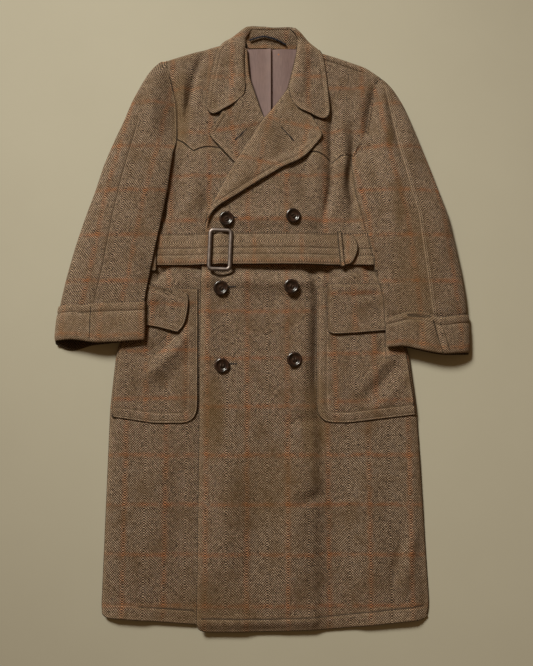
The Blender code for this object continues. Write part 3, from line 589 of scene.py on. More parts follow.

# Darker brown patches on the tweed: x, y, reach across, reach along, strength. The one beside the right
# armhole, at (-160, 400), is painted shade
DARK_BROWN_PATCHES = (
    (-90, -195, 28, 105, 0.9),
    (98, -215, 32, 125, 0.8),
    (10, -330, 95, 95, 0.55),
    (-90, -540, 120, 55, 0.6),
    (290, 80, 55, 170, 0.6),
    (-160, 400, 24, 120, 0.8),
    (249, 346, 10, 34, 1),
    (262, 215, 16, 60, 0.7),
)

# A small rusty spot on the lining
LINING_SPOT = (33.0, 521.0)

# Stage, in metres: floor, a soft lamp at the upper left, and the light of the room
FLOOR_SIZE = 8.0
FLOOR_HEIGHT = -0.0002
LAMP_PLACE = (-2.60, 4.00, 4.00)
LAMP_AIM = (-0.08, 0.30, 0.0)
LAMP_SIZE = 1.90
LAMP_POWER = 24.6
LAMP_TINT = (1.0, 0.98, 0.87)
LAMP_SPREAD = math.radians(34.0)
ROOM_TINT = (1.0, 0.62, 0.29, 1.0)
ROOM_STRENGTH = 0.16

# Camera: focal length in photo pixels, photo size, and where it stands
FOCAL_PIXELS = 800.0
PHOTO_HEIGHT = 666.0
SENSOR = 36.0
CAMERA_PLACE = (0.0090, -0.2486, 1.5053)
CAMERA_TILT = math.radians(7.97)


class Term:
    """A shader value that takes part in sums: each operator adds a Math node."""

    def __init__(self, finish, socket):
        self.finish = finish
        self.socket = socket

    def math(self, operation, *others):
        """A Math node of this value and others."""
        return self.finish.node("ShaderNodeMath", {"operation": operation}, dict(enumerate((self,) + others)))

    def __add__(self, other):
        return self.math("ADD", other)

    __radd__ = __add__

    def __sub__(self, other):
        return self.math("SUBTRACT", other)

    def __rsub__(self, other):
        return self.finish.node("ShaderNodeMath", {"operation": "SUBTRACT"}, {0: other, 1: self})

    def __mul__(self, other):
        return self.math("MULTIPLY", other)

    __rmul__ = __mul__

    def __truediv__(self, other):
        return self.math("DIVIDE", other)

    def wave(self):
        """From 0 to 1 and back once for each whole number."""
        return (self * (2 * math.pi)).math("SINE") * 0.5 + 0.5

    def step(self, low, high):
        """Rises softly from 0 at low to 1 at high."""
        return self.finish.node(
            "ShaderNodeMapRange",
            {"interpolation_type": "SMOOTHSTEP"},
            {"Value": self, "From Min": low, "From Max": high},
        )

    def near(self, repeat, width):
        """1 on each repeat, falling to 0 at a width to both sides."""
        away = ((self / repeat).math("FRACT") - 0.5).math("ABSOLUTE")
        return away.step(0.5 - width / repeat, 0.5)


class Finish:
    """A material made of nodes."""

    def __init__(self, name):
        self.material = bpy.data.materials.new(name)
        self.material.use_nodes = True
        self.tree = self.material.node_tree
        self.shader = self.tree.nodes["Principled BSDF"]

    def node(self, kind, settings=None, sockets=None, out=0):
        """Add a node, make its settings, then fill or link its sockets."""
        made = self.tree.nodes.new(kind)
        for key, value in (settings or {}).items():
            setattr(made, key, value)
        for key, value in (sockets or {}).items():
            self.fill(made.inputs[key], value)
        return Term(self, made.outputs[out])

    def fill(self, socket, value):
        """Link a term to a socket, or set the socket's value."""
        if isinstance(value, Term):
            self.tree.links.new(value.socket, socket)
        else:
            socket.default_value = value

    def set(self, **values):
        """Fill the shader's own sockets, with underscores for spaces."""
        for key, value in values.items():
            self.fill(self.shader.inputs[key.replace("_", " ")], value)

    def mix(self, share, first, second):
        """A colour between two."""
        settings = {"data_type": "RGBA"}
        return self.node("ShaderNodeMix", settings, {0: share, 6: first, 7: second}, out=2)

    def noise(self, vector, scale, detail=2.0, rough=0.5):
        """Soft noise from 0 to 1."""
        sockets = {"Vector": vector, "Scale": scale, "Detail": detail, "Roughness": rough}
        return self.node("ShaderNodeTexNoise", None, sockets)

    def bump(self, height, strength, distance):
        """A normal from a height."""
        sockets = {"Height": height, "Strength": strength, "Distance": distance}
        return self.node("ShaderNodeBump", None, sockets)

    def stretched(self, vector, scale):
        """A vector scaled along its axes."""
        return self.node("ShaderNodeMapping", None, {"Vector": vector, "Scale": scale})

    def object_place(self):
        """The place on the object, in metres."""
        return self.node("ShaderNodeTexCoord", None, None, out=3)

    def parts(self, vector):
        """The three values of a vector."""
        split = self.node("ShaderNodeSeparateXYZ", None, {0: vector})
        return [Term(self, socket) for socket in split.socket.node.outputs]


def colour(red, green, blue):
    """An opaque colour."""
    return (red, green, blue, 1.0)


def tweed_finish():
    """Napped herringbone twill of brown and grey yarns with a rust overcheck, along a piece's grain."""
    tweed = Finish("tweed_cloth")
    place = tweed.node("ShaderNodeUVMap", {"uv_map": "grain"})
    across, along, _ = tweed.parts(place)
    drift = tweed.noise(place, 38.0, 1.0)
    u = across / MM + (drift - 0.5) * 3.0
    v = along / MM + (drift - 0.5) * 3.0

    column = (u / HERRINGBONE).math("FLOOR")
    side = (column * 0.5).math("FRACT") * 4.0 - 1.0
    rib = u / TWILL_ACROSS * side + v / TWILL_ALONG
    cross = u / TWILL_ACROSS * side - v / TWILL_ALONG
    fleck = tweed.noise(place, 640.0, 2.0, 0.75)
    slub = tweed.noise(place, 270.0, 2.0, 0.7)
    patch = tweed.noise(place, 105.0, 2.0, 0.6).step(0.30, 0.70)
    grid = (rib.wave() * 0.56 + cross.wave() * 0.44 - 0.5) * (0.5 + patch)
    lines = (grid + (fleck - 0.5) * 0.7 + (slub - 0.5) * 0.7).step(0.03, 0.12)

    broken = tweed.noise(place, 52.0, 3.0, 0.7).step(0.28, 0.62)
    pane = (u.near(CHECK_ACROSS, CHECK_WIDTH) * 0.56 + v.near(CHECK_ALONG, CHECK_HEIGHT) * 0.72) * broken
    heather = tweed.noise(place, 420.0, 3.0, 0.8).step(0.35, 0.65)
    cloud = tweed.noise(place, 17.0, 4.0, 0.65)
    mist = tweed.noise(place, 46.0, 3.0, 0.6)
    warp = tweed.noise(tweed.stretched(place, (520.0, 90.0, 1.0)), 1.0, 2.0, 0.6)
    weft = tweed.noise(tweed.stretched(place, (90.0, 520.0, 1.0)), 1.0, 2.0, 0.6)
    yarn = (warp + weft).step(0.78, 1.22)
    dark = tweed.mix(heather, colour(0.008, 0.005, 0.003), colour(0.022, 0.013, 0.008))
    pale = tweed.mix(heather, colour(0.425, 0.306, 0.212), colour(0.560, 0.415, 0.302))
    light = tweed.mix(yarn, colour(0.262, 0.176, 0.113), pale)
    rust_dark = tweed.mix(pane * 0.5, dark, colour(0.100, 0.036, 0.015))
    rust_light = tweed.mix(pane, light, colour(0.440, 0.190, 0.085))
    cloth = tweed.mix(lines, rust_dark, rust_light)
    aged = tweed.mix(cloud.step(0.45, 0.72) * 0.55, cloth, colour(0.085, 0.048, 0.020))
    greyed = tweed.mix(mist.step(0.48, 0.75) * 0.28, aged, colour(0.172, 0.134, 0.110))
    x, y, _ = tweed.parts(tweed.object_place())
    # Darker brown patches; the one beside the right armhole is painted shade
    patch_darkening = 0.0
    for middle_x, middle_y, wide, long, share in DARK_BROWN_PATCHES:
        aside, ahead = (x / MM - middle_x) / wide, (y / MM - middle_y) / long
        patch_darkening = patch_darkening + (1.0 - (aside * aside + ahead * ahead).step(0.0, 1.0)) * share
    patch_darkening = patch_darkening * (0.35 + cloud * 0.4)
    marked = tweed.mix(patch_darkening, greyed, colour(0.085, 0.046, 0.011))
    # One value per point: about 0.5 paints a pale strip, partly wear and partly painted highlight; from 0.62
    # up it paints shade
    wear_and_shade = tweed.node("ShaderNodeAttribute", {"attribute_name": "wear_and_shade"}, None, out=2)
    wear_and_lit_pale = tweed.mix((wear_and_shade * 4.0 * (1.0 - wear_and_shade)) * 0.16, marked, colour(0.330, 0.225, 0.135))
    shown = tweed.mix(wear_and_shade.step(0.62, 0.80) * 0.75, wear_and_lit_pale, colour(0.014, 0.009, 0.006))
    nap = lines * 0.8 + fleck * 0.6
    tweed.set(Base_Color=shown, Roughness=0.78 + heather * 0.17, Normal=tweed.bump(nap, 0.70, 0.0007))
    tweed.set(Sheen_Weight=0.08, Sheen_Roughness=0.5, Specular_IOR_Level=0.15)
    tweed.set(Sheen_Tint=colour(0.75, 0.62, 0.50))
    return tweed.material


def lining_finish():
    """Mauve satin with fine streaks along the thread."""
    satin = Finish("mauve_satin")
    place = satin.object_place()
    streak = satin.noise(satin.stretched(place, (900.0, 60.0, 60.0)), 1.0, 3.0, 0.6)
    cloud = satin.noise(place, 26.0, 2.0)
    base = satin.mix(streak.step(0.3, 0.7), colour(0.128, 0.082, 0.077), colour(0.166, 0.108, 0.103))
    clouded = satin.mix(cloud.step(0.45, 0.75) * 0.35, base, colour(0.195, 0.123, 0.102))
    x, y, _ = satin.parts(place)
    across, along = x / MM - LINING_SPOT[0], y / MM - LINING_SPOT[1]
    spot = 1.0 - (across * across + along * along).step(1.0, 5.0)
    shown = satin.mix(spot * 0.7, clouded, colour(0.340, 0.110, 0.030))
    satin.set(Base_Color=shown, Roughness=0.56 + streak * 0.16, Normal=satin.bump(streak, 0.12, 0.0003))
    satin.set(Sheen_Weight=0.06, Sheen_Roughness=0.4, Specular_IOR_Level=0.2)
    return satin.material


def hanger_finish():
    """Navy ribbon with a ribbed weave."""
    ribbon = Finish("navy_ribbon")
    place = ribbon.object_place()
    ribs = ribbon.noise(place, 1400.0, 1.0)
    shown = ribbon.mix(ribs.step(0.3, 0.7), colour(0.002, 0.003, 0.007), colour(0.006, 0.009, 0.022))
    ribbon.set(Specular_IOR_Level=0.2, Base_Color=shown, Roughness=0.75)
    ribbon.set(Normal=ribbon.bump(ribs, 0.3, 0.0003))
    return ribbon.material


def button_finish():
    """Polished dark brown with a faint horn-like marbling."""
    polish = Finish("brown_polish")
    place = polish.object_place()
    marble = polish.noise(place, 120.0, 4.0, 0.65)
    shown = polish.mix(marble.step(0.35, 0.7), colour(0.008, 0.004, 0.003), colour(0.034, 0.015, 0.009))
    scuff = polish.noise(place, 700.0, 2.0)
    polish.set(Base_Color=shown, Roughness=0.16 + scuff * 0.14, Coat_Weight=0.2, Coat_Roughness=0.12)
    return polish.material


def thread_finish(name, first, second):
    """Twisted sewing thread."""
    thread = Finish(name)
    place = thread.object_place()
    twist = thread.noise(place, 1500.0, 1.0)
    thread.set(Base_Color=thread.mix(twist, first, second), Roughness=0.8)
    return thread.material


def buckle_finish():
    """Satin bronze metal, brighter and more metallic in soft random patches."""
    bronze = Finish("satin_bronze")
    place = bronze.object_place()
    rub = bronze.noise(place, 90.0, 4.0, 0.65)
    grime = bronze.noise(place, 420.0, 3.0, 0.6)
    shown = bronze.mix(rub.step(0.35, 0.65), colour(0.120, 0.096, 0.088), colour(0.185, 0.152, 0.140))
    bronze.set(Base_Color=shown, Roughness=0.36 + grime * 0.16, Metallic=0.75 + rub * 0.2)
    bronze.set(Normal=bronze.bump(grime, 0.08, 0.0002))
    return bronze.material


def floor_finish():
    """Pale matt floor."""
    pale = Finish("pale_floor")
    place = pale.object_place()
    cloud = pale.noise(place, 5.0, 4.0, 0.6)
    shown = pale.mix(cloud, colour(0.365, 0.338, 0.266), colour(0.395, 0.368, 0.292))
    pale.set(Base_Color=shown, Roughness=0.85)
    return pale.material


def blurred(field, cells):
    """A field averaged over a square of cells to each side."""
    width = 2 * cells + 1
    for axis in (0, 1):
        pad = [(0, 0), (0, 0)]
        pad[axis] = (cells + 1, cells)
        total = np.cumsum(np.pad(field, pad), axis=axis)
        high = np.take(total, range(width, total.shape[axis]), axis=axis)
        low = np.take(total, range(0, total.shape[axis] - width), axis=axis)
        field = (high - low) / width
    return field


class Bed:
    """Height of everything that has been laid, on a square grid over the floor."""

    def __init__(self):
        self.x = np.arange(-BED_X, BED_X + CELL / 2, CELL)
        self.y = np.arange(-BED_Y, BED_Y + CELL / 2, CELL)
        self.top = np.zeros((len(self.y), len(self.x)))

    def covered(self, outline):
        """Which cells lie inside an outline."""
        mask = np.zeros(self.top.shape, dtype=bool)
        start, end = outline, np.roll(outline, -1, axis=0)
        for row, y in enumerate(self.y):
            crossing = (start[:, 1] <= y) != (end[:, 1] <= y)
            if not crossing.any():
                continue
            a, b = start[crossing], end[crossing]
            xs = np.sort(a[:, 0] + (y - a[:, 1]) / (b[:, 1] - a[:, 1]) * (b[:, 0] - a[:, 0]))
            for low, high in zip(xs[::2], xs[1::2]):
                mask[row, (self.x >= low) & (self.x <= high)] = True
        return mask

    def draped(self, mask, stiff):
        """Underside of stiff cloth set down on the bed: it touches the high places and bridges the rest."""
        rows, columns = np.any(mask, axis=1).nonzero()[0], np.any(mask, axis=0).nonzero()[0]
        margin = 8
        box = (
            slice(max(rows[0] - margin, 0), rows[-1] + margin + 1),
            slice(max(columns[0] - margin, 0), columns[-1] + margin + 1),
        )
        inside = mask[box].astype(float)
        weight = np.maximum(blurred(inside, BRIDGE_CELLS), 1e-6)
        low = (self.top[box] + GAP) * inside
        height = low
        for _ in range(stiff):
            spread = blurred(height * inside, BRIDGE_CELLS) / weight
            height = np.maximum(low, spread)
        height = blurred(height * inside, BRIDGE_CELLS) / weight
        field = np.zeros(self.top.shape)
        field[box] = height
        return field

    def read(self, field, x, y):
        """A field's value at places, in straight steps between cells."""
        column = np.clip((np.asarray(x) + BED_X) / CELL, 0, len(self.x) - 1.001)
        row = np.clip((np.asarray(y) + BED_Y) / CELL, 0, len(self.y) - 1.001)
        c, r = column.astype(int), row.astype(int)
        u, v = column - c, row - r
        near = field[r, c] * (1 - u) + field[r, c + 1] * u
        far = field[r + 1, c] * (1 - u) + field[r + 1, c + 1] * u
        return near * (1 - v) + far * v

    def highest(self, spots):
        """The greatest height at some places."""
        return max(float(self.read(self.top, *spot)) for spot in spots)

    def grid(self):
        """Both coordinates of every cell."""
        return np.meshgrid(self.x, self.y)


bed = Bed()
laid = []
threads = []


def smooth_step(value):
    """Rises softly from 0 at 0 to 1 at 1."""
    value = np.clip(value, 0.0, 1.0)
    return value * value * (3 - 2 * value)


def bell(away, reach):
    """1 where nothing is away, falling softly to almost nothing at twice a reach."""
    return np.exp(-(away / reach) ** 2)


def hill(x, y, middle, reach):
    """1 at a middle, falling softly to all sides, with a reach across and along."""
    return np.exp(-((x - middle[0]) / reach[0]) ** 2 - ((y - middle[1]) / reach[1]) ** 2)


def bell_weights(reach):
    """Weights that average a row of values over a reach to both sides."""
    weights = bell(np.arange(-2 * reach, 2 * reach + 1), reach)
    return weights / weights.sum()


def lengths_along(points):
    """Length along a line up to each of its points."""
    return np.concatenate(([0.0], np.cumsum(np.hypot(*np.diff(points, axis=0).T))))


def fold_heights(folds, x, y):
    """Height that soft folds give at places: each follows its points and gives way towards its ends."""
    total = np.zeros(np.shape(x))
    for points, reach, height in folds:
        points = np.array(points, dtype=float)
        runs = points[1:] - points[:-1]
        lengths = np.hypot(runs[:, 0], runs[:, 1])
        before = np.concatenate(([0.0], np.cumsum(lengths)))
        nearest = np.full(np.shape(x), np.inf)
        share = np.zeros(np.shape(x))
        for start, run, length, past in zip(points, runs, lengths, before):
            along = np.clip(((x - start[0]) * run[0] + (y - start[1]) * run[1]) / length ** 2, 0.0, 1.0)
            away = np.hypot(x - start[0] - along * run[0], y - start[1] - along * run[1])
            closer = away < nearest
            nearest = np.where(closer, away, nearest)
            share = np.where(closer, (past + along * length) / before[-1], share)
        taper = smooth_step(share / FOLD_TAPER) * smooth_step((1 - share) / FOLD_TAPER)
        total += height * (FOLD_END + (1 - FOLD_END) * taper) * bell(nearest, reach)
    return total


def node_outline(node):
    """Outline of a laid node seen from above, against the clock, in millimetres."""
    work = bmesh.new()
    work.from_mesh(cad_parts[node].data)
    bmesh.ops.remove_doubles(work, verts=work.verts, dist=MERGE)
    work.normal_update()
    upper = {face for face in work.faces if face.normal.z > 0.5}
    after = {}
    for face in upper:
        for loop in face.loops:
            if loop.link_loop_radial_next.face not in upper:
                after[loop.vert] = loop.link_loop_next.vert
    start = min(after, key=lambda vert: (vert.co.x, vert.co.y))
    points, at = [], start
    while True:
        points.append((at.co.x / MM, at.co.y / MM))
        at = after[at]
        if at == start:
            break
    work.free()
    return np.array(points)


def turns(points):
    """How far a closed outline turns at each point."""
    before = points - np.roll(points, 1, axis=0)
    after = np.roll(points, -1, axis=0) - points
    cross = before[:, 0] * after[:, 1] - before[:, 1] * after[:, 0]
    dot = (before * after).sum(axis=1)
    return np.arctan2(cross, dot)


def resampled(points, spacing, closed):
    """Points at an even spacing along a line."""
    if closed:
        points = np.vstack([points, points[:1]])
    before = lengths_along(points)
    count = max(2, int(round(before[-1] / spacing)))
    at = np.linspace(0.0, before[-1], count + 1)
    line = np.stack([np.interp(at, before, points[:, axis]) for axis in (0, 1)], axis=1)
    return line[:-1] if closed else line


def eased(line, reach, closed):
    """A line with its bends averaged over a reach; an open line keeps its ends."""
    cells = max(1, int(reach / FINE))
    weights = bell_weights(cells)
    pad = 2 * cells
    if closed:
        wide = np.vstack([line[-pad:], line, line[:pad]])
    else:
        ahead = 2 * line[0] - line[1:pad + 1][::-1]
        behind = 2 * line[-1] - line[-pad - 1:-1][::-1]
        wide = np.vstack([ahead, line, behind])
    return np.stack([np.convolve(wide[:, axis], weights, mode="valid") for axis in (0, 1)], axis=1)


def soft_outline(points):
    """An outline whose gentle bends run as curves and whose corners are a little rounded."""
    points = points[np.abs(turns(points)) > SLIGHT]
    corners = np.nonzero(np.abs(turns(points)) > SHARP)[0]
    if len(corners) < 2:
        return eased(resampled(points, FINE, True), CURVE_EASE, True)
    stretches = []
    for start, end in zip(corners, np.roll(corners, -1)):
        end = end if end > start else end + len(points)
        line = resampled(points[np.arange(start, end + 1) % len(points)], FINE, False)
        reach = min(CURVE_EASE, len(line) * FINE / 5)
        stretches.append(eased(line, reach, False)[:-1] if len(line) > 8 * reach else line[:-1])
    return eased(np.vstack(stretches), CORNER_EASE, True)


def stretch(outline, start, end):
    """Numbers of an outline's points from the one nearest a place on to the one nearest another."""
    first = np.hypot(*(outline - np.array(start)).T).argmin()
    last = np.hypot(*(outline - np.array(end)).T).argmin()
    count = (last - first) % len(outline)
    return (first + np.arange(count + 1)) % len(outline)


def outward(line):
    """Normals of a closed outline, pointing out of it."""
    run = np.roll(line, -1, axis=0) - np.roll(line, 1, axis=0)
    run /= np.maximum(np.hypot(run[:, 0], run[:, 1]), 1e-9)[:, None]
    return np.stack([run[:, 1], -run[:, 0]], axis=1)


def tree_of(points):
    """Points in a tree that finds the nearest."""
    tree = KDTree(len(points))
    for index, (x, y) in enumerate(points):
        tree.insert((x, y, 0.0), index)
    tree.balance()
    return tree


def away_from(tree, x, y):
    """Distance and number of the nearest point of a tree, for each place."""
    found = [tree.find((a, b, 0.0)) for a, b in zip(x, y)]
    return np.array([f[2] for f in found]), np.array([f[1] for f in found])


def away_from_line(line, x, y):
    """Distance from a line, for each place."""
    away, _ = away_from(tree_of(resampled(np.array(line, dtype=float), FINE, False)), x, y)
    return away


def moved_left(line, distance):
    """A line moved to its left."""
    run = np.gradient(line, axis=0)
    run /= np.maximum(np.hypot(run[:, 0], run[:, 1]), 1e-9)[:, None]
    return line + np.stack([-run[:, 1], run[:, 0]], axis=1) * distance


def divide(outline, spacing, rows):
    """Divide an outline into triangles: fine along its edge and along rows of stitches, and evenly inside."""
    border = resampled(outline, EDGE_SPACING, True)
    tree = tree_of(outline)
    normals = outward(border)
    rings = [border - normals * depth for depth in EDGE_RINGS]
    places = []
    for depth, ring in zip(EDGE_RINGS, rings):
        far, _ = away_from(tree, ring[:, 0], ring[:, 1])
        places.append(ring[far > RING_CLEAR * depth])
    low, high = outline.min(axis=0), outline.max(axis=0)
    inner = []
    for number, y in enumerate(np.arange(low[1], high[1], spacing * math.sqrt(0.75))):
        xs = np.arange(low[0] + (number % 2) * spacing / 2, high[0], spacing)
        inner.append(np.stack([xs, np.full(len(xs), y)], axis=1))
    inner = np.vstack(inner)
    far, _ = away_from(tree, inner[:, 0], inner[:, 1])
    places.append(inner[far > EDGE_RINGS[-1] + spacing / 2])
    places = np.vstack(places)
    for row in rows:
        away, _ = away_from(tree_of(row), places[:, 0], places[:, 1])
        moved = np.vstack([moved_left(resampled(row, EDGE_SPACING, False), offset) for offset in ROW_RINGS])
        edge, _ = away_from(tree, moved[:, 0], moved[:, 1])
        places = np.vstack([places[away > ROW_CLEAR], moved[edge > EDGE_RINGS[0]]])
    points = [Vector(point) for point in np.vstack([border, places])]
    ring = list(range(len(border)))
    found, _, faces, _, _, origins = delaunay_2d_cdt(points, [], [ring], 0, MERGE, True)
    kept = [tuple(face) for face, origin in zip(faces, origins) if origin]
    used = sorted({index for face in kept for index in face})
    number_of = {old: new for new, old in enumerate(used)}
    places = np.array([found[index] for index in used])
    return places, [tuple(number_of[index] for index in face) for face in kept]


def border_edges(faces):
    """Edges of a sheet that belong to one face only, in that face's direction."""
    seen = {}
    for face in faces:
        for start, end in zip(face, face[1:] + face[:1]):
            seen.setdefault(frozenset((start, end)), []).append((start, end))
    return [pairs[0] for pairs in seen.values() if len(pairs) == 1]


def skin(count, wide, first=0, rows_close=False, row_closes=True):
    """Faces over rows of points that are all as wide; the rows, and each row, may close round."""
    faces = []
    for row in range(count if rows_close else count - 1):
        near, far = first + row * wide, first + (row + 1) % count * wide
        for step in range(wide if row_closes else wide - 1):
            ahead = (step + 1) % wide
            faces.append((near + step, far + step, far + ahead, near + ahead))
    return faces


def add_piece(name, points, faces, material, grain=None, wear_and_shade=None):
    """A mesh piece from points in millimetres, with its grain as a UV map in metres."""
    mesh = bpy.data.meshes.new(name)
    mesh.from_pydata([tuple(point) for point in np.asarray(points) * MM], [], faces)
    mesh.validate()
    if grain is not None:
        layer = mesh.uv_layers.new(name="grain")
        corners = np.zeros(len(mesh.loops), dtype=np.int32)
        mesh.loops.foreach_get("vertex_index", corners)
        layer.data.foreach_set("uv", (np.asarray(grain) * MM)[corners].astype(np.float32).ravel())
    if wear_and_shade is not None:
        attribute = mesh.attributes.new("wear_and_shade", "FLOAT", "POINT")
        attribute.data.foreach_set("value", np.asarray(wear_and_shade, dtype=np.float32))
    mesh.shade_smooth()
    mesh.materials.append(material)
    piece = bpy.data.objects.new(name, mesh)
    bpy.context.scene.collection.objects.link(piece)
    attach(piece, "root")
    return piece


def turned(x, y, grain):
    """Places along a piece's grain: turn in degrees, then the overcheck's start across and along."""
    angle, start_across, start_along = math.radians(grain[0]), grain[1], grain[2]
    across = x * math.cos(angle) + y * math.sin(angle) - start_across
    along = -x * math.sin(angle) + y * math.cos(angle) - start_along
    return np.stack([across, along], axis=1)


def note_cut(piece, wide, long, area, on):
    """Keep the cut of a piece of cloth, given in millimetres, and what it lies on."""
    area = None if area is None else area * MM * MM
    laid.append({"piece": piece, "flat": (wide * MM, long * MM), "area": area, "on": list(on), "with": []})


def set_down(outline, thick, stiff, shape, lifted):
    """Set a piece of cloth down on the bed, and give the height of its underside."""
    mask = bed.covered(outline)
    height = bed.draped(mask, stiff)
    grid_x, grid_y = bed.grid()
    near = blurred(mask.astype(float), NEAR_CELLS) > 0
    if shape:
        height[near] += shape(grid_x[near], grid_y[near])
    for start, end, rise, reach in lifted:
        tree = tree_of(outline[stretch(outline, start, end)])
        far, _ = away_from(tree, grid_x[near], grid_y[near])
        height[near] += rise * smooth_step(1 - far / reach)
    bed.top = np.where(mask, height + thick, bed.top)
    return height


def area_inside(outline):
    """Area inside an outline."""
    after = np.roll(outline, -1, axis=0)
    return abs((outline[:, 0] * after[:, 1] - outline[:, 1] * after[:, 0]).sum()) / 2


def lay(node, thick=TWEED, slot="tweed", grain=BODY_GRAIN, spacing=4.0, stiff=16, shape=None, folds=(),
        stitched=(), lifted=(), on=(), points=None, nodes=None, rows=(), shaded=(), hidden=(), wear_and_lit_pale=0.0):
    """Lay one flat piece on the bed.

    spacing: distance between points inside it.
    stiff: steps in which it bridges what is beneath, more for stiffer cloth.
    folds: start, end, floor and radius of edges that are rolled over and run down to a floor.
    stitched: start, end and distance from the edge of each row of stitches, which pulls a groove.
    lifted: start, end, height and reach of edges that stand off what they lie on.
    shape: a function of x and y that adds height.
    points, nodes: an outline of its own, and the nodes that the piece stands for.
    rows: other rows of stitches, each as a line.
    shaded: lines along which the cloth is darkened, because something lies close beside it, and their reach.
    hidden: start and end of edges that are sewn beneath another piece, and so get neither the painted shade
    nor the pale strip of an edge.
    The last argument tells how much paler the whole face is drawn, as if better lit; this is painted light.
    """
    outline = soft_outline(node_outline(node) if points is None else np.array(points, dtype=float))
    radius = np.full(len(outline), EDGE_ROUND * thick)
    floors = np.full(len(outline), np.nan)
    for start, end, floor, reach in folds:
        run = stretch(outline, start, end)
        radius[run] = reach
        floors[run] = floor
    height = set_down(outline, thick, stiff, shape, lifted)
    rows = [inside_line(outline, *row) for row in stitched] + list(rows)
    places, faces = divide(outline, spacing, rows)
    x, y = places[:, 0], places[:, 1]
    far, nearest = away_from(tree_of(outline), x, y)
    under = bed.read(height, x, y)
    round_reach = radius[nearest]
    inset = np.clip(round_reach - far, 0.0, None)
    drop = round_reach - np.sqrt(np.maximum(round_reach ** 2 - inset ** 2, 0.0))
    over = under + thick - drop
    # Painted shade as a dark line along each edge, with a pale strip just inside it that is partly wear and
    # partly painted highlight
    wear_and_shade = np.maximum(np.exp(-far / EDGE_WEAR_AND_SHADE_REACH), wear_and_lit_pale)
    for start, end in hidden:
        wear_and_shade[np.isin(nearest, stretch(outline, start, end))] = 0.0
    # Each row's groove is darkened with painted shade
    for row in rows:
        pulled = bell(away_from_line(row, x, y), GROOVE_REACH)
        over -= GROOVE_DEPTH * pulled
        wear_and_shade = np.maximum(wear_and_shade, GROOVE_SHADE * pulled)
    for line, reach in shaded:
        wear_and_shade = np.maximum(wear_and_shade, SHADE_STRENGTH * bell(away_from_line(line, x, y), reach))
    border = border_edges(faces)
    edge = np.array([start for start, _ in border])
    floor = floors[nearest[edge]]
    under = np.maximum(np.minimum(under, over - LEAST_THICK), 0.0)
    under[edge] = np.where(np.isnan(floor), under[edge], np.minimum(floor, under[edge]))
    over[edge] = np.maximum(over[edge], under[edge] + LEAST_EDGE)

    count = len(places)
    points = np.vstack([np.c_[x, y, over], np.c_[x, y, under]])
    solid = list(faces) + [tuple(index + count for index in reversed(face)) for face in faces]
    solid += [(end, start, start + count, end + count) for start, end in border]
    along_grain = np.tile(turned(x, y, grain), (2, 1))
    piece = add_piece(node + "_cloth", points, solid, materials[slot], along_grain, np.tile(wear_and_shade, 2))
    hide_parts(*(nodes or (node,)))
    low, high = outline.min(axis=0), outline.max(axis=0)
    wide, long = np.maximum(high - low, LEAST_CUT)
    note_cut(piece, wide, long, area_inside(outline), on)
    for row in rows:
        stitch(node, row)


def inside_line(outline, start, end, distance):
    """A stretch of an outline moved in by a distance."""
    run = stretch(outline, start, end)
    return (outline - outward(outline) * distance)[run]


def stitch_mesh(line, heights):
    """Points and faces of a row of stitches along a line: each a small lozenge that dips in at its ends."""
    points, faces = [], []
    before = lengths_along(line)
    for centre in np.arange(STITCH_PITCH / 2, before[-1], STITCH_PITCH):
        here = np.array([np.interp(centre, before, line[:, axis]) for axis in (0, 1)])
        ahead = np.array([np.interp(centre + STITCH_AHEAD, before, line[:, axis]) for axis in (0, 1)])
        run = ahead - here
        length = np.hypot(*run)
        if length < 1e-6:
            continue
        run /= length
        aside = np.array([-run[1], run[0]])
        base = float(np.interp(centre, before, heights))
        first = len(points)
        for share, girth in STITCH_RINGS:
            spot = here + run * share * STITCH_LENGTH
            for angle in [2 * math.pi * step / STITCH_SIDES for step in range(STITCH_SIDES)]:
                flat = spot + aside * math.cos(angle) * STITCH_WIDTH / 2 * max(girth, STITCH_TIP)
                high = math.sin(angle) * STITCH_HEIGHT * max(girth, STITCH_TIP)
                points.append((flat[0], flat[1], base - STITCH_DIP * (1 - girth) + high))
        sides = skin(len(STITCH_RINGS), STITCH_SIDES, first)
        faces += [(a, d, c, b) for a, b, c, d in sides]
        faces.append(tuple(reversed(range(first, first + STITCH_SIDES))))
        faces.append(tuple(range(len(points) - STITCH_SIDES, len(points))))
    return points, faces


def stitch(owner, line):
    """Sew a row of stitches on the piece that was laid last."""
    line = resampled(np.asarray(line), FINE, False)
    heights = bed.read(bed.top, line[:, 0], line[:, 1]) - GROOVE_DEPTH + STITCH_PROUD
    threads.append((owner, line, heights, laid[-1]))


def stitch_over(owner, line, heights, proud):
    """Sew a row of stitches along a line of known heights on the piece that was laid last."""
    fine = resampled(line, FINE, False)
    shares, known = np.linspace(0, 1, len(fine)), np.linspace(0, 1, len(heights))
    threads.append((owner, fine, np.interp(shares, known, heights) + proud, laid[-1]))


def sew_all():
    """Join the rows of stitches of each owner into one piece."""
    owners = {}
    for owner, line, heights, row in threads:
        points, faces = stitch_mesh(line, heights)
        owners.setdefault(owner, [[], [], row])
        count = len(owners[owner][0])
        owners[owner][0] += points
        owners[owner][1] += [tuple(index + count for index in face) for face in faces]
    for owner, (points, faces, row) in owners.items():
        thread = materials["pale_thread" if owner in PALE_ROWS else "thread"]
        piece = add_piece(owner + "_stitches", points, faces, thread)
        row["with"].append(piece)


def loft_shape(x, y):
    """Air and folds beneath the fronts and yokes."""
    sides = np.minimum(smooth_step((x - LOFT_RIGHT) / LOFT_EASE), smooth_step((LOFT_LEFT - x) / LOFT_EASE))
    hem = smooth_step((y - LOFT_FOOT) / LOFT_EASE)
    return BODY_LOFT * sides * hem + fold_heights(BODY_FOLDS, x, y)


def hem_y(x):
    """Place of the hem's edge along the coat."""
    return np.interp(x, *np.array(HEM_EDGE).T)


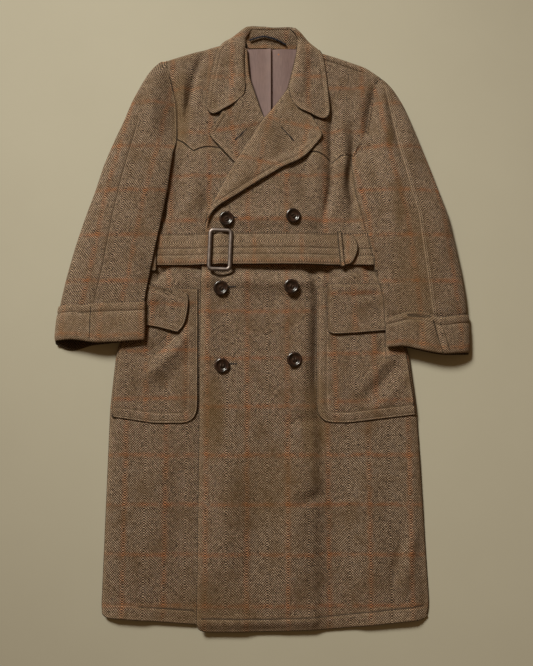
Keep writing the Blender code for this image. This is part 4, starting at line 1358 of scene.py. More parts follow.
def front_shape(x, y):
    """A front: the folds, and the turned hem that makes its foot thicker."""
    above = y - hem_y(x)
    turned_up = HEM_PLY * smooth_step((HEM_DEPTH + HEM_EASE / 2 - above) / HEM_EASE)
    waves = np.sin(x / RIPPLE_LENGTH + RIPPLE_DRIFT * np.sin(x / DRIFT_LENGTH))
    ripple = RIPPLE_HEIGHT * waves * bell(above - HEM_DEPTH, RIPPLE_REACH)
    return loft_shape(x, y) + turned_up + ripple


def beside_sleeve():
    """The line on the left front along which the sleeve and the cuff lie."""
    edge = [(row[3], row[0]) for row in SLEEVE_LEFT if row[0] < FOLD_STARTS["left"]]
    return np.array([(x - (CUFF_CLEAR if y < 0 else SLEEVE_CLEAR), y) for x, y in edge])


def hem_line(low_x, high_x, rise=HEM_DEPTH):
    """A line along a hem."""
    xs = np.arange(low_x, high_x, HEM_STEP)
    return np.stack([xs, hem_y(xs) + rise], axis=1)


def lining_shape(x, y):
    """Satin whose right half laps over the pleat, with slight waves."""
    lap = PLEAT_LAP * np.exp(-np.maximum(PLEAT_CREST - x, 0.0) / PLEAT_REACH) * (x < PLEAT_EDGE)
    hollow = -PLEAT_HOLLOW * np.exp(-np.maximum(x - PLEAT_EDGE, 0.0) / PLEAT_REACH) * (x >= PLEAT_EDGE)
    return LINING_LOFT + lap + hollow + LINING_WAVE * np.sin(x / LINING_WAVES[0] + y / LINING_WAVES[1])


def facing_shape(x, y):
    """The inside of the stand leans up towards the collar's fold."""
    middle, reach, height = FACING_RIDGE
    return FACING_RISE * smooth_step((y - FACING_FOOT) / FACING_DEPTH) + height * bell(x - middle, reach)


def hanger_shape(x, y):
    """The hanger loop stands off the facing."""
    return np.full(np.shape(x), HANGER_LOFT)


def lapel_right_shape(x, y):
    """The right lapel swells a little towards its roll."""
    return LAPEL_SWELL * hill(x, y, LAPEL_MIDDLE, LAPEL_REACH)


def lapel_left_shape(x, y):
    """The left lapel swells along its roll and is slack above the point."""
    roll = np.abs((x - ROLL_PLACE[0]) * ROLL_NORMAL[0] + (y - ROLL_PLACE[1]) * ROLL_NORMAL[1])
    return ROLL_SWELL * bell(roll - ROLL_AWAY, ROLL_REACH) + fold_heights(LAPEL_FOLDS, x, y)


def lay_body():
    """Everything that lies beneath the collar and the belt."""
    lay("belt_back", spacing=9)
    lay("back", spacing=11, on=["belt_back"])
    for half in ("lining_left", "lining_right"):
        lay(half, SATIN, "lining", PLAIN, spacing=3, stiff=4, shape=lining_shape, on=["back"])
    lay("neck_facing", shape=facing_shape, on=["back", "lining_left", "lining_right"])

    lay("front_right", shape=front_shape, spacing=4.5, on=["back", "lining_right"],
        rows=[hem_line(-284, -118)], shaded=[(hem_line(-222, -118, HEM_SHADE), SHADE_REACH)],
        lifted=[((-286, -556), (-228, -560), 4, 34)],
        folds=[((-178, 316), (-290, -545), 0.3, 6), ((98, 166), (3, 389), 4, 4)])
    lay("yoke_right", shape=loft_shape, on=["back", "lining_right"], shaded=[(LEAF_EDGE, SHADE_REACH)],
        folds=[((3, 389), (-29, 530), 4, 4), ((-66, 543), (-196, 504), 0.3, 5)])
    lay("lapel_right", shape=lapel_right_shape, grain=(9, 0, 12), on=["front_right", "yoke_right"],
        folds=[((3, 389), (-24, 470), 3.9, 5)],
        stitched=[((-79, 395), (-26, 266), WELT)],
        lifted=[((-79, 395), (-26, 266), 3, 30)])
    lay("front_left", shape=front_shape, on=["front_right", "lapel_right"], rows=[hem_line(-108, 296)],
        shaded=[(beside_sleeve(), SLEEVE_SHADE), (hem_line(-108, 296, HEM_SHADE), SHADE_REACH)],
        lifted=[((-112, -580), (-40, -581), 4, 34),
                ((190, -570), (268, -562), 3.5, 30)],
        folds=[((300, -552), (192, 296), 0.3, 6), ((2, 380), (-109, 166), 4, 4)])
    lay("yoke_left", shape=loft_shape, on=["back", "lining_left"], hidden=[((160, 309), (236, 470))],
        stitched=[((220, 477), (96, 530), SHOULDER_ROW),
                  ((200, 494), (120, 521), SHOULDER_ROW)],
        folds=[((236, 470), (96, 530), 0.3, 5), ((70, 530), (2, 380), 4, 4)])
    lay("lapel_left", shape=lapel_left_shape, grain=(-12, 10, 20), on=["front_left", "yoke_left"],
        wear_and_lit_pale=0.2, folds=[((49, 444), (-104, 190), 3.9, 5.5)],
        stitched=[((-104, 186), (96, 392), WELT)],
        lifted=[((-104, 190), (84, 305), 3.2, 40), ((84, 305), (96, 392), 1.5, 34)])


def lay_hanger():
    """The hanger loop, a little narrower than its node."""
    ribbon = node_outline("hanger_loop")
    lay("hanger_loop", RIBBON, "hanger", PLAIN, spacing=1.6, stiff=3, shape=hanger_shape, on=["neck_facing"],
        points=ribbon - outward(ribbon))


def leaf_shape(x, y):
    """The collar swells where it rolls over at the neck, and lies sewn down where it meets the lapels."""
    from_neck = np.where(x < NECK_MIDDLE, NECK_RIGHT - x, x - NECK_LEFT)
    swell = LEAF_SWELL * bell(from_neck - LEAF_AWAY, LEAF_REACH) * smooth_step((y - LEAF_FOOT) / LEAF_LENGTH)
    sewn = sum(hill(x, y, gorge, GORGE_REACH) for gorge in GORGES)
    flush = smooth_step((y - FLUSH_FOOT) / FLUSH_DEPTH) * smooth_step((x - FLUSH_RIGHT) / FLUSH_EASE)
    flush = flush * smooth_step((FLUSH_LEFT - x) / FLUSH_EASE)
    return swell - GORGE_DEPTH * sewn - FLUSH_DROP * flush + fold_heights(COLLAR_FOLDS, x, y)


def lay_collar():
    """The collar in one, rolled over round the neck: both leaves and the fold across the back."""
    lay("collar", grain=(0, 16, 24), on=["lapel_right", "lapel_left", "yoke_right", "yoke_left"],
        points=COLLAR, nodes=("collar_leaf_right", "collar_leaf_left", "collar_fall", "collar_stand"),
        shape=leaf_shape, hidden=[((-30, 556), (69, 557))],
        folds=[((-31, 456), (-30, 552), 4, 7.5), ((69, 552), (51, 446), 4, 7.5),
               ((114, 530), (-88, 532), 0.3, 8)],
        stitched=[((-84, 541), (-60, 409), WELT), ((76, 400), (118, 522), WELT)],
        lifted=[((-106, 440), (-66, 406), 2.4, 26), ((86, 395), (131, 430), 2.8, 26)])


def pocket_shape(x, y):
    """A patch pocket is a little slack below its mouth, and creased towards its corner."""
    middle = np.where(x < 0.0, -POCKET_X, POCKET_X)
    slack = POCKET_SLACK * hill(x, y, (middle, POCKET_Y), POCKET_REACH)
    return slack + fold_heights(POCKET_FOLDS, x, y)


def flap_shape(x, y):
    """A flap is creased where it is sewn on."""
    return fold_heights(FLAP_FOLDS, x, y)


def lay_pockets():
    """Patch pockets and their flaps."""
    in_shade = [(beside_sleeve(), SLEEVE_SHADE)]
    lay("pocket_right", grain=(1, 6, 20), on=["front_right"], shape=pocket_shape,
        stitched=[((-281, -196), (-121, 36), away) for away in (EDGE_ROW, POCKET_ROW)])
    lay("flap_right", grain=(-3, 18, 6), on=["pocket_right"], shape=flap_shape, points=FLAP_RIGHT,
        stitched=[((-254, -20), (-138.5, 30), EDGE_ROW)],
        lifted=[((-262, -20), (-139, 10), 2.4, 26)])
    lay("pocket_left", grain=(1, -14, 8), on=["front_left"], shape=pocket_shape, shaded=in_shade,
        stitched=[((104, 36), (285, -193), away) for away in (EDGE_ROW, POCKET_ROW)])
    lay("flap_left", grain=(2, 26, 30), on=["pocket_left"], shape=flap_shape, shaded=in_shade,
        stitched=[((123, 48), (262, -35), EDGE_ROW)],
        lifted=[((123, 10), (262, -35), 2.4, 26)])


def stand_off(y, start, width, height):
    """Height that a belt's lower edge stands off."""
    return height * smooth_step((start - y) / width)


def belt_shape(x, y):
    """The belt bows over the coat and stands off at its lower edge."""
    length, height = BASE_WAVE
    return BELT_LOFT + stand_off(y, *BASE_LIFT) + height * np.sin(x / length)


def tail_shape(x, y):
    """The tail also rises in the buckle's window, and lies low beneath its bars."""
    window = bell(x - WINDOW_X, BAR_REACH) * WINDOW_RISE
    bars = sum(bell(x - bar, BAR_REACH) for bar in BARS_X)
    length, height = TAIL_WAVE
    return BELT_LOFT + window - BAR_DROP * bars + stand_off(y, *TAIL_LIFT) + height * np.sin(x / length)


def lay_belt():
    """The belt's base and tail, the keeper and the side loops."""
    lay("belt_base", grain=BELT_GRAIN, on=["front_left"], shape=belt_shape, stiff=30, wear_and_lit_pale=BELT_LIT_PALE,
        shaded=[(beside_sleeve(), SLEEVE_SHADE)],
        stitched=[((-78, BELT_LOW), (219, BELT_LOW), away) for away in BELT_ROWS])
    tail_rows = [((-216, BELT_LOW), (168, BELT_LOW), away) for away in BELT_ROWS + (BELT_EDGE_ROW,)]
    lay("belt_tail", grain=(90, 22, 14), on=["belt_base", "front_right"], shape=tail_shape, stiff=30,
        wear_and_lit_pale=BELT_LIT_PALE,
        stitched=tail_rows + [((170, BELT_HIGH), (-216, BELT_HIGH), BELT_EDGE_ROW)],
        lifted=[((168, BELT_LOW), (178, BELT_HIGH), 2.5, 22)])
    lay("belt_keeper", on=["belt_tail"], spacing=2.5, wear_and_lit_pale=BELT_LIT_PALE,
        stitched=[((143, 150), (149, 90), KEEPER_ROW)])
    lay("belt_loop_right", on=["belt_tail"], spacing=3, wear_and_lit_pale=BELT_LIT_PALE)
    lay("belt_loop_left", on=["belt_base"], spacing=3, points=LOOP_LEFT)


def along_rows(table, ys):
    """Columns of a sleeve's table at places down the arm, eased between rows."""
    rows = np.array(sorted(table))
    fine = np.arange(rows[0, 0] - 3 * SLEEVE_EASE, rows[-1, 0] + 3 * SLEEVE_EASE, 1.0)
    out = []
    weights = bell_weights(SLEEVE_EASE)
    for column in range(1, rows.shape[1]):
        values = np.interp(fine, rows[:, 0], rows[:, column])
        first, last = rows[1] - rows[0], rows[-1] - rows[-2]
        values += np.where(fine < rows[0, 0], (fine - rows[0, 0]) * first[column] / first[0], 0.0)
        values += np.where(fine > rows[-1, 0], (fine - rows[-1, 0]) * last[column] / last[0], 0.0)
        smooth = np.convolve(values, weights, mode="same")
        out.append(np.interp(ys, fine, smooth))
    return out


class Sleeve:
    """A flattened tube: its section at any place down the arm."""

    def __init__(self, side):
        self.side = side
        self.sign = -1.0 if side == "right" else 1.0
        self.table = SLEEVE_RIGHT if side == "right" else SLEEVE_LEFT
        self.support = blurred(blurred(bed.top, SUPPORT_CELLS[0]), SUPPORT_CELLS[1])
        angles = np.linspace(0.0, math.pi, SLEEVE_COLUMNS)
        shares = (1 - np.cos(angles)) / 2
        fore_seam = [NOMINAL_SEAM + offset / SLEEVE_WIDTH for offset in SEAM_COLUMNS]
        hind_seam = [NOMINAL_SEAM - offset / SLEEVE_WIDTH for offset in SEAM_COLUMNS]
        clear = [s for s in shares if abs(s - NOMINAL_SEAM) > SEAM_CLEAR / SLEEVE_WIDTH]
        self.fore = np.array(sorted([s for s in clear if s < NOMINAL_SEAM] + fore_seam))
        self.hind = np.array(sorted([s for s in clear if s > NOMINAL_SEAM] + hind_seam))
        under_angles = np.linspace(math.pi, 2 * math.pi, UNDER_COLUMNS)[1:-1]
        self.under = (1 - np.sign(np.cos(under_angles)) * np.sqrt(np.abs(np.cos(under_angles)))) / 2

    def section(self, y, reach=0.0):
        """Points across the top (fore, then hind) and back beneath, at one place down the arm.

        With a reach they are moved out by it, or in where it is negative, and the top seam is left out.
        """
        outer, seam, inner, crest = [float(v[0]) for v in along_rows(self.table, np.array([y]))]
        folded = float(smooth_step((FOLD_STARTS[self.side] + FOLD_AHEAD - y) / FOLD_GROWTH))
        inner -= self.sign * CAP_LAP * (1 - folded)
        width = outer - inner
        seam_share = (seam - inner) / width

        def real(share):
            low = share * seam_share / NOMINAL_SEAM
            high = seam_share + (share - NOMINAL_SEAM) * (1 - seam_share) / (1 - NOMINAL_SEAM)
            return np.where(share < NOMINAL_SEAM, low, high)

        top_share = real(np.concatenate([self.fore, self.hind]))
        under_share = real(self.under)
        rest_in = float(bed.read(self.support, inner, y))
        body = bed.highest([(inner - self.sign * step, y) for step in ARMHOLE_STEPS[self.side]])
        edge_in = (1 - folded) * (body + SEWN_RISE) + folded * (rest_in + EDGE_HEIGHT)
        edge_out = EDGE_HEIGHT * min(1.0, crest / FULL_CREST)

        def dome(share, power):
            return np.sqrt(np.maximum(0.0, 1 - np.abs(2 * share - 1) ** power))

        def edge(share):
            return edge_in + (edge_out - edge_in) * share

        soft = dome(top_share, TOP_ROUND)
        easy = smooth_step(np.minimum(top_share / 0.5, 1.0)) ** ARMHOLE_ROUND
        soft = np.where(top_share < 0.5, folded * soft + (1 - folded) * easy, soft)
        x_top = inner + width * top_share
        z_top = edge(top_share) + (crest - edge(top_share)) * soft
        z_top += fold_heights(SLEEVE_FOLDS[self.side], x_top, np.full(len(x_top), y)) * soft
        shows, rise, depth, rows = SEAMS[self.side]
        fade = 0.0 if reach else float(smooth_step((shows - y) / SEAM_FADE))
        beside = (x_top - seam) * self.sign
        lap = smooth_step(beside / LAP_STEP + 0.5) * smooth_step((LAP_END - beside) / LAP_FALL)
        pulled = depth * bell(beside, SEAM_GROOVE)
        pulled += sum(SEAM_ROW_SHARE * depth * bell(beside - row, SEAM_ROW_GROOVE) for row in rows)
        z_top += fade * (rise * lap - pulled)
        x_under = inner + width * under_share
        rest = np.maximum(bed.read(self.support, x_under, np.full(len(x_under), y)), 0.0) + UNDER_RISE
        z_under = edge(under_share) - (edge(under_share) - rest) * dome(under_share, UNDER_ROUND)
        x = np.concatenate([x_top, x_under])
        z = np.concatenate([z_top, z_under])
        if reach:
            run_x = np.roll(x, -1) - np.roll(x, 1)
            run_z = np.roll(z, -1) - np.roll(z, 1)
            length = np.maximum(np.hypot(run_x, run_z), 1e-6)
            x = x + reach * self.sign * -run_z / length
            z = z + reach * self.sign * run_x / length
        return np.stack([x, np.full(len(x), y), z], axis=1)


def lay_sleeve(side):
    """Both cut pieces of a sleeve."""
    sleeve = Sleeve(side)
    top = sleeve.table[0][0]
    foot = CUFF_TOPS[side] - FOOT_BELOW
    ys = np.linspace(top, foot, int((top - foot) / SLEEVE_STEP) + 1)
    tucks = -FOOT_TUCK * smooth_step((CUFF_TOPS[side] - TUCK_BELOW - ys) / TUCK_LENGTH)
    rings = np.array([sleeve.section(y, tuck) for y, tuck in zip(ys, tucks)])
    lengths = np.array([lengths_along(ring[:, [0, 2]]) for ring in rings])
    seam = len(sleeve.fore)
    count = rings.shape[1]
    under = count - int(len(sleeve.under) * UNDER_SEAM_SHARE)
    shows, _, _, rows = SEAMS[side]
    shown = smooth_step((shows - ys) / SEAM_FADE)
    sewn_on = 1 - smooth_step((FOLD_STARTS[side] - ARMHOLE_END - ys) / FOLD_GROWTH)
    sewn_on = sewn_on * smooth_step((top - ARMHOLE_START - ys) / ARMHOLE_EASE)
    pieces = {
        "fore": list(range(under, count)) + list(range(seam)),
        "hind": list(range(seam, under + 1)),
    }
    for name, columns in pieces.items():
        points = rings[:, columns].reshape(-1, 3)
        wide = len(columns)
        faces = facing_out(skin(len(ys), wide, row_closes=False), sleeve)
        around = lengths[:, columns] - lengths[:, [seam]]
        if name == "fore":
            around[:, :count - under] -= lengths[:, [-1]] + SECTION_CLOSE
        along = np.repeat(ys[:, None], wide, axis=1)
        grain = [around.ravel() * sleeve.sign + SLEEVE_GRAIN[0], along.ravel() + SLEEVE_GRAIN[1]]
        grain = np.stack(grain, axis=1)
        from_seam = rings[:, columns, 0] - rings[:, [seam], 0]
        from_inner = rings[:, columns, 0] - rings[:, [0], 0]
        # Painted shade along the top seam's groove and along the armhole seam
        wear_and_shade = np.maximum(SEAM_SHADE[side] * bell(from_seam, GROOVE_REACH) * shown[:, None],
                          ARMHOLE_SHADE[side] * bell(from_inner, ARMHOLE_REACH) * sewn_on[:, None])
        node = "sleeve_%s_%s" % (side, name)
        piece = add_piece(node + "_cloth", points, faces, materials["tweed"], grain, wear_and_shade.ravel())
        thicken(piece, SLEEVE_WALL)
        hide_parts(node)
        cut = np.abs(np.diff(around, axis=1)).sum(axis=1)
        area = float(np.trapz(cut, -ys))
        note_cut(piece, float(cut.max()), float(top - foot), area, ["front_" + side, "back"])
    across_top = np.argsort(rings[0][:seam + len(sleeve.hind), 0])
    seen = [ring for ring in rings if ring[0, 1] < shows - SEAM_FADE / 2]
    for beside in rows:
        line = np.array([(ring[seam, 0] + sleeve.sign * beside, ring[0, 1]) for ring in seen])
        heights = [np.interp(x, *ring[across_top][:, [0, 2]].T) for (x, _), ring in zip(line, seen)]
        stitch_over("sleeve_%s_hind" % side, line, heights, SEAM_PROUD)
    return sleeve


def facing_out(faces, sleeve):
    """Faces of a tube that is made like a left sleeve, turned over on the right one."""
    return [tuple(reversed(face)) for face in faces] if sleeve.sign < 0 else faces


def pick(piece):
    """Select one piece alone and make it the active one."""
    bpy.ops.object.select_all(action="DESELECT")
    bpy.context.view_layer.objects.active = piece
    piece.select_set(True)


def thicken(piece, thickness):
    """Give a sheet its thickness inwards, and close its edges."""
    pick(piece)
    wall = piece.modifiers.new("wall", "SOLIDIFY")
    wall.thickness = thickness * MM
    wall.offset = -1.0
    wall.use_rim = True
    bpy.ops.object.modifier_apply(modifier=wall.name)


def edge_at(points, x):
    """Place of an edge along a cuff, with its corners blended."""
    xs, ys = np.array(points, dtype=float).T
    return sum(np.interp(x + offset, xs, ys) for offset in EDGE_BLEND) / len(EDGE_BLEND)


def lay_cuff(side, sleeve):
    """A turn-back cuff round the sleeve's foot, open below."""
    top = CUFF_TOPS[side]
    edges = CUFF_EDGES[side]
    upper = len(sleeve.fore) + len(sleeve.hind)
    rings = []
    for below, reach in CUFF_SECTION:
        ring = sleeve.section(top - below, reach)
        x = ring[:, 0]
        beneath = np.arange(len(ring)) >= upper
        foot = np.where(beneath, edge_at(edges["lip"], x), edge_at(edges["foot"], x))
        share = below / CUFF_LENGTH
        ring[:, 1] = edge_at(edges["top"], x) * (1 - share) + foot * share
        if reach > 0:
            ring[:, 2] += np.where(beneath, 0.0, fold_heights(CUFF_FOLDS[side], x, ring[:, 1]))
        rings.append(ring)
    rings = np.array(rings)
    count = rings.shape[1]
    points = rings.reshape(-1, 3)
    points[:, 2] = np.maximum(points[:, 2], CUFF_LEAST)
    faces = facing_out(skin(len(rings), count, rows_close=True), sleeve)

    depth, reach = np.array(CUFF_SECTION).T
    row, turn = list(depth).index(CUFF_ROW), list(depth).index(CUFF_LENGTH)
    lengths = lengths_along(rings[row][:, [0, 2]])
    around = np.tile(lengths, len(rings)) * sleeve.sign
    along = np.repeat(np.where(np.arange(len(depth)) < turn, -depth, depth - 2 * CUFF_LENGTH), count)
    grain = np.stack([around + CUFF_GRAIN[0], along + CUFF_GRAIN[1]], axis=1)
    # Painted shade at the cuff's top edge, at its foot and in the row's groove, and a paler face as if better
    # lit, which is painted light
    foot_shade = CUFF_FOOT_SHADE * np.exp((depth - CUFF_LENGTH) / EDGE_WEAR_AND_SHADE_REACH)
    wear_and_shade = np.maximum(np.exp(-depth / EDGE_WEAR_AND_SHADE_REACH), foot_shade)
    wear_and_shade = np.maximum(wear_and_shade, GROOVE_SHADE * bell(depth - CUFF_ROW, GROOVE_REACH))
    wear_and_shade = np.maximum(wear_and_shade, CUFF_LIT_PALE[side])
    # Painted shade over the whole inside of the opening, below the row
    wear_and_shade = np.where((reach < 0) & (depth > CUFF_ROW), 1.0, wear_and_shade)
    wear_and_shade = np.repeat(wear_and_shade, count)
    for line, width, strength in CUFF_SHADES[side]:
        away = away_from_line(line, points[:, 0], points[:, 1])
        wear_and_shade = np.maximum(wear_and_shade, strength * bell(away, width))
    piece = add_piece("cuff_%s_cloth" % side, points, faces, materials["tweed"], grain, wear_and_shade)
    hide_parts("cuff_" + side)
    beneath = ["sleeve_%s_fore" % side, "sleeve_%s_hind" % side]
    note_cut(piece, float(lengths[-1]) + CUFF_CLOSE, CUFF_LENGTH, None, beneath)
    line = rings[row][CUFF_ROW_ENDS:upper - CUFF_ROW_ENDS]
    stitch_over("cuff_" + side, line[:, :2], line[:, 2], CUFF_PROUD)


def start_fresh():
    """Leave nothing selected before a new primitive is added."""
    if bpy.context.mode != "OBJECT":
        bpy.ops.object.mode_set(mode="OBJECT")
    bpy.ops.object.select_all(action="DESELECT")


def settle(piece, x, y, height, turn=0.0):
    """Set a finished hard piece in its place, with its place in its mesh."""
    piece.location = (x * MM, y * MM, height * MM)
    piece.rotation_euler = (0.0, 0.0, turn)
    pick(piece)
    bpy.ops.object.transform_apply(location=True, rotation=True, scale=True)
    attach(piece, "root")


def close_up():
    """Merge the active shape's double points and turn its faces out."""
    bpy.ops.object.mode_set(mode="EDIT")
    bpy.ops.mesh.select_all(action="SELECT")
    bpy.ops.mesh.remove_doubles(threshold=MERGE)
    bpy.ops.mesh.normals_make_consistent(inside=False)
    bpy.ops.object.mode_set(mode="OBJECT")


def turned_button():
    """One button: a turned profile spun round, with four drilled holes."""
    start_fresh()
    bpy.ops.mesh.primitive_circle_add(vertices=3, radius=MM)
    button = bpy.context.active_object
    work = bmesh.new()
    spots = [work.verts.new((radius * MM, 0.0, height * MM)) for radius, height in BUTTON_PROFILE]
    for start, end in zip(spots, spots[1:]):
        work.edges.new((start, end))
    work.to_mesh(button.data)
    work.free()
    bpy.ops.object.mode_set(mode="EDIT")
    bpy.ops.mesh.select_all(action="SELECT")
    bpy.ops.mesh.spin(steps=BUTTON_STEPS, angle=2 * math.pi, center=(0, 0, 0), axis=(0, 0, 1))
    bpy.ops.object.mode_set(mode="OBJECT")
    close_up()
    for across in (-HOLE_SPACING, HOLE_SPACING):
        for along in (-HOLE_SPACING, HOLE_SPACING):
            start_fresh()
            bpy.ops.mesh.primitive_cylinder_add(
                vertices=HOLE_SIDES, radius=HOLE_RADIUS * MM, depth=HOLE_DEPTH * MM,
                location=(across * MM, along * MM, 0.0))
            drill = bpy.context.active_object
            bpy.context.view_layer.objects.active = button
            cut = button.modifiers.new("hole", "BOOLEAN")
            cut.operation = "DIFFERENCE"
            cut.object = drill
            bpy.ops.object.modifier_apply(modifier=cut.name)
            bpy.data.objects.remove(drill, do_unlink=True)
    pick(button)
    bpy.ops.object.shade_smooth_by_angle(angle=BUTTON_CREASE)
    return button


def button_thread():
    """The thread that sews a button on: two bars across its holes."""
    start_fresh()
    bars = []
    for along in (-HOLE_SPACING, HOLE_SPACING):
        bpy.ops.mesh.primitive_torus_add(
            major_segments=THREAD_STEPS, minor_segments=THREAD_SIDES,
            major_radius=HOLE_SPACING * MM, minor_radius=THREAD_RADIUS * MM,
            location=(0.0, along * MM, THREAD_HEIGHT * MM),
            rotation=(math.pi / 2, 0.0, 0.0))
        bar = bpy.context.active_object
        bar.scale = THREAD_SCALE
        bars.append(bar)
        start_fresh()
    for bar in bars:
        bar.select_set(True)
    bpy.context.view_layer.objects.active = bars[0]
    bpy.ops.object.transform_apply(location=True, rotation=True, scale=True)
    bpy.ops.object.join()
    bpy.ops.object.shade_smooth()
    return bpy.context.active_object


def copied(model, name):
    """A copy of a modelled piece with its own mesh."""
    piece = model.copy()
    piece.data = model.data.copy()
    piece.name = name
    piece.data.name = name
    bpy.context.scene.collection.objects.link(piece)
    return piece


def add_buttons():
    """Six buttons, each pressed a little into the cloth and sewn on."""
    button, thread = turned_button(), button_thread()
    button.data.materials.append(materials["button"])
    thread.data.materials.append(materials["button_thread"])
    for number, (x, y) in enumerate(BUTTONS, start=1):
        angles = np.linspace(0, 2 * math.pi, BUTTON_RESTS)
        rests = [(x + BUTTON_REST * math.cos(angle), y + BUTTON_REST * math.sin(angle)) for angle in angles]
        base = bed.highest(rests) - BUTTON_SINK
        turn = math.radians(BUTTON_TURN * number)
        piece = copied(button, "button_%d_turned" % number)
        settle(piece, x, y, base, turn)
        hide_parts("button_%d" % number)
        sewn = copied(thread, "button_%d_thread" % number)
        settle(sewn, x, y, base, turn)
    bpy.data.objects.remove(button, do_unlink=True)
    bpy.data.objects.remove(thread, do_unlink=True)


def add_buttonholes():
    """Worked buttonholes: a lip of close stitches round each slit, and the slit itself, a dark sheet of
    painted shade in the opening.
    """
    points, faces = [], []
    for start, end, first_lip, last_lip in BUTTONHOLES:
        start, end = np.array(start), np.array(end)
        run = (end - start) / np.hypot(*(end - start))
        aside = np.array([-run[1], run[0]])
        path = []
        for centre, first, lip in ((end, -math.pi / 2, last_lip), (start, math.pi / 2, first_lip)):
            for angle in np.linspace(first, first + math.pi, END_STEPS):
                out = run * math.cos(angle) + aside * math.sin(angle)
                spot = centre + out * HOLE_HALF
                path.append((spot, float(bed.read(bed.top, *spot)), out, lip))
        faces += skin(len(path), LIP_SIDES, len(points), rows_close=True)
        for spot, height, out, lip in path:
            for angle in [2 * math.pi * step / LIP_SIDES for step in range(LIP_SIDES)]:
                place = spot + out * lip * math.cos(angle)
                points.append((place[0], place[1], height + LIP_RISE + lip * LIP_FLAT * math.sin(angle)))
        # The slit is a dark sheet of painted shade where the opening is
        slit, foot = len(points), len(points) + len(path)
        for level in (SLIT_TOP, SLIT_FOOT):
            points += [(spot[0], spot[1], height + level) for spot, height, _, _ in path]
        faces.append(tuple(range(slit, foot)))
        faces.append(tuple(reversed(range(foot, len(points)))))
        faces += skin(2, len(path), slit)
    piece = add_piece("buttonholes", points, faces, materials["buttonhole_thread_and_shade"])
    front = next(row for row in laid if row["piece"].name == "front_left_cloth")
    front["with"].append(piece)


def add_buckle():
    """The buckle: a rounded bar bent to a frame with soft corners."""
    start_fresh()
    bpy.ops.mesh.primitive_plane_add(size=1.0)
    buckle = bpy.context.active_object
    buckle.name = "buckle_bars"
    middle = [(outer + window) / 2 for outer, window in zip(BUCKLE_OUTER, BUCKLE_WINDOW)]
    buckle.scale = (middle[0] * MM, middle[1] * MM, 1.0)
    bpy.ops.object.transform_apply(location=False, rotation=False, scale=True)
    bpy.ops.object.mode_set(mode="EDIT")
    bpy.ops.mesh.select_all(action="SELECT")
    bpy.ops.mesh.bevel(
        offset=BUCKLE_CORNER * MM, offset_type="OFFSET", segments=CORNER_STEPS, affect="VERTICES")
    bpy.ops.mesh.select_all(action="SELECT")
    bpy.ops.mesh.delete(type="ONLY_FACE")
    bpy.ops.object.mode_set(mode="OBJECT")
    bpy.ops.object.convert(target="CURVE")
    bar = (BUCKLE_OUTER[0] - BUCKLE_WINDOW[0]) / 2
    buckle.data.dimensions = "3D"
    buckle.data.bevel_depth = bar / 2 * MM
    buckle.data.bevel_resolution = BAR_STEPS
    bpy.ops.object.convert(target="MESH")
    buckle.scale = (1.0, 1.0, BUCKLE_THICK / bar)
    buckle.location = (0.0, 0.0, BUCKLE_THICK / 2 * MM)
    bpy.ops.object.transform_apply(location=True, rotation=True, scale=True)
    close_up()
    bpy.ops.object.shade_smooth()
    buckle.data.materials.append(materials["buckle"])
    x, y = BUCKLE_CENTRE
    rests = [(x + across, y + along) for across in BUCKLE_RESTS_X for along in BUCKLE_RESTS_Y]
    base = bed.highest(rests) - BUCKLE_SINK
    settle(buckle, x, y, base, BUCKLE_TILT)
    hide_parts("buckle")


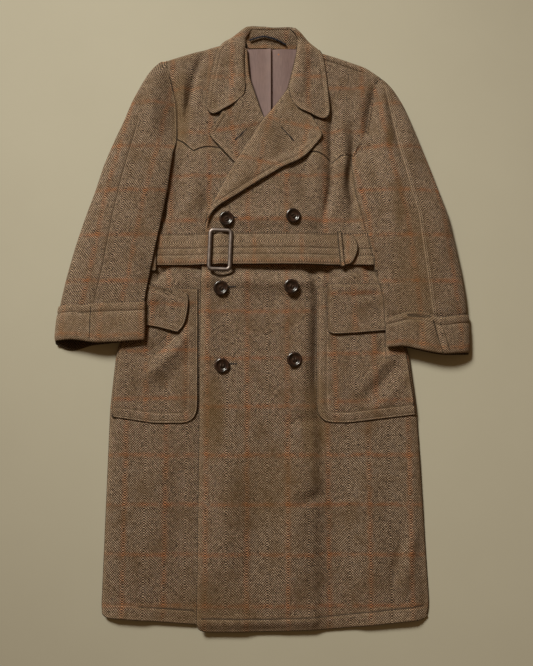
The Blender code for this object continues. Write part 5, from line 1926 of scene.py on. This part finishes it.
def add_stage():
    """A plain pale floor, a large soft light from the upper left and a faint fill."""
    start_fresh()
    bpy.ops.mesh.primitive_plane_add(size=FLOOR_SIZE, location=(0.0, 0.0, FLOOR_HEIGHT))
    floor = bpy.context.active_object
    floor.name = "floor"
    floor.data.materials.append(floor_finish())

    lamp = bpy.data.lights.new("window", "AREA")
    lamp.shape = "DISK"
    lamp.size = LAMP_SIZE
    lamp.energy = LAMP_POWER
    lamp.color = LAMP_TINT
    lamp.spread = LAMP_SPREAD
    light = bpy.data.objects.new("window", lamp)
    light.location = LAMP_PLACE
    light.rotation_euler = (Vector(LAMP_AIM) - Vector(LAMP_PLACE)).to_track_quat("-Z", "Y").to_euler()
    bpy.context.scene.collection.objects.link(light)

    world = bpy.data.worlds.new("room")
    world.use_nodes = True
    world.node_tree.nodes["Background"].inputs["Color"].default_value = ROOM_TINT
    world.node_tree.nodes["Background"].inputs["Strength"].default_value = ROOM_STRENGTH
    bpy.context.scene.world = world
    bpy.context.scene.view_settings.view_transform = "Standard"


def add_camera():
    """The camera at the photograph's angle."""
    data = bpy.data.cameras.new("camera")
    data.sensor_fit = "VERTICAL"
    data.sensor_height = SENSOR
    data.lens = FOCAL_PIXELS / PHOTO_HEIGHT * SENSOR
    camera = bpy.data.objects.new("camera", data)
    camera.location = CAMERA_PLACE
    camera.rotation_euler = (CAMERA_TILT, 0.0, 0.0)
    bpy.context.scene.collection.objects.link(camera)
    bpy.context.scene.camera = camera


def declare_sheets():
    """Work out the clamped area of each piece's cut; nothing is kept or stated."""
    for row in laid:
        wide, long = row["flat"]
        area = row["area"]
        if area is not None:
            area = min(max(area, LEAST_FILL * wide * long), wide * long)


materials = {
    "tweed": tweed_finish(),
    "lining": lining_finish(),
    "hanger": hanger_finish(),
    "button": button_finish(),
    "button_thread": thread_finish("button_thread", colour(0.05, 0.03, 0.02), colour(0.12, 0.075, 0.05)),
    "thread": thread_finish("sewing_thread", colour(0.05, 0.032, 0.02), colour(0.13, 0.09, 0.06)),
    "pale_thread": thread_finish("pale_thread", colour(0.40, 0.30, 0.21), colour(0.55, 0.44, 0.33)),
    # Near-black thread of the buttonholes' lips, also the painted shade of their slits
    "buttonhole_thread_and_shade": thread_finish("buttonhole_thread_and_slit_shade", colour(0.004, 0.002, 0.001), colour(0.02, 0.01, 0.006)),
    "buckle": buckle_finish(),
}

add_camera()
add_stage()
lay_body()
lay_hanger()
lay_collar()
lay_pockets()
lay_belt()
add_buttonholes()
add_buttons()
add_buckle()
for arm in ("right", "left"):
    lay_cuff(arm, lay_sleeve(arm))
sew_all()
declare_sheets()
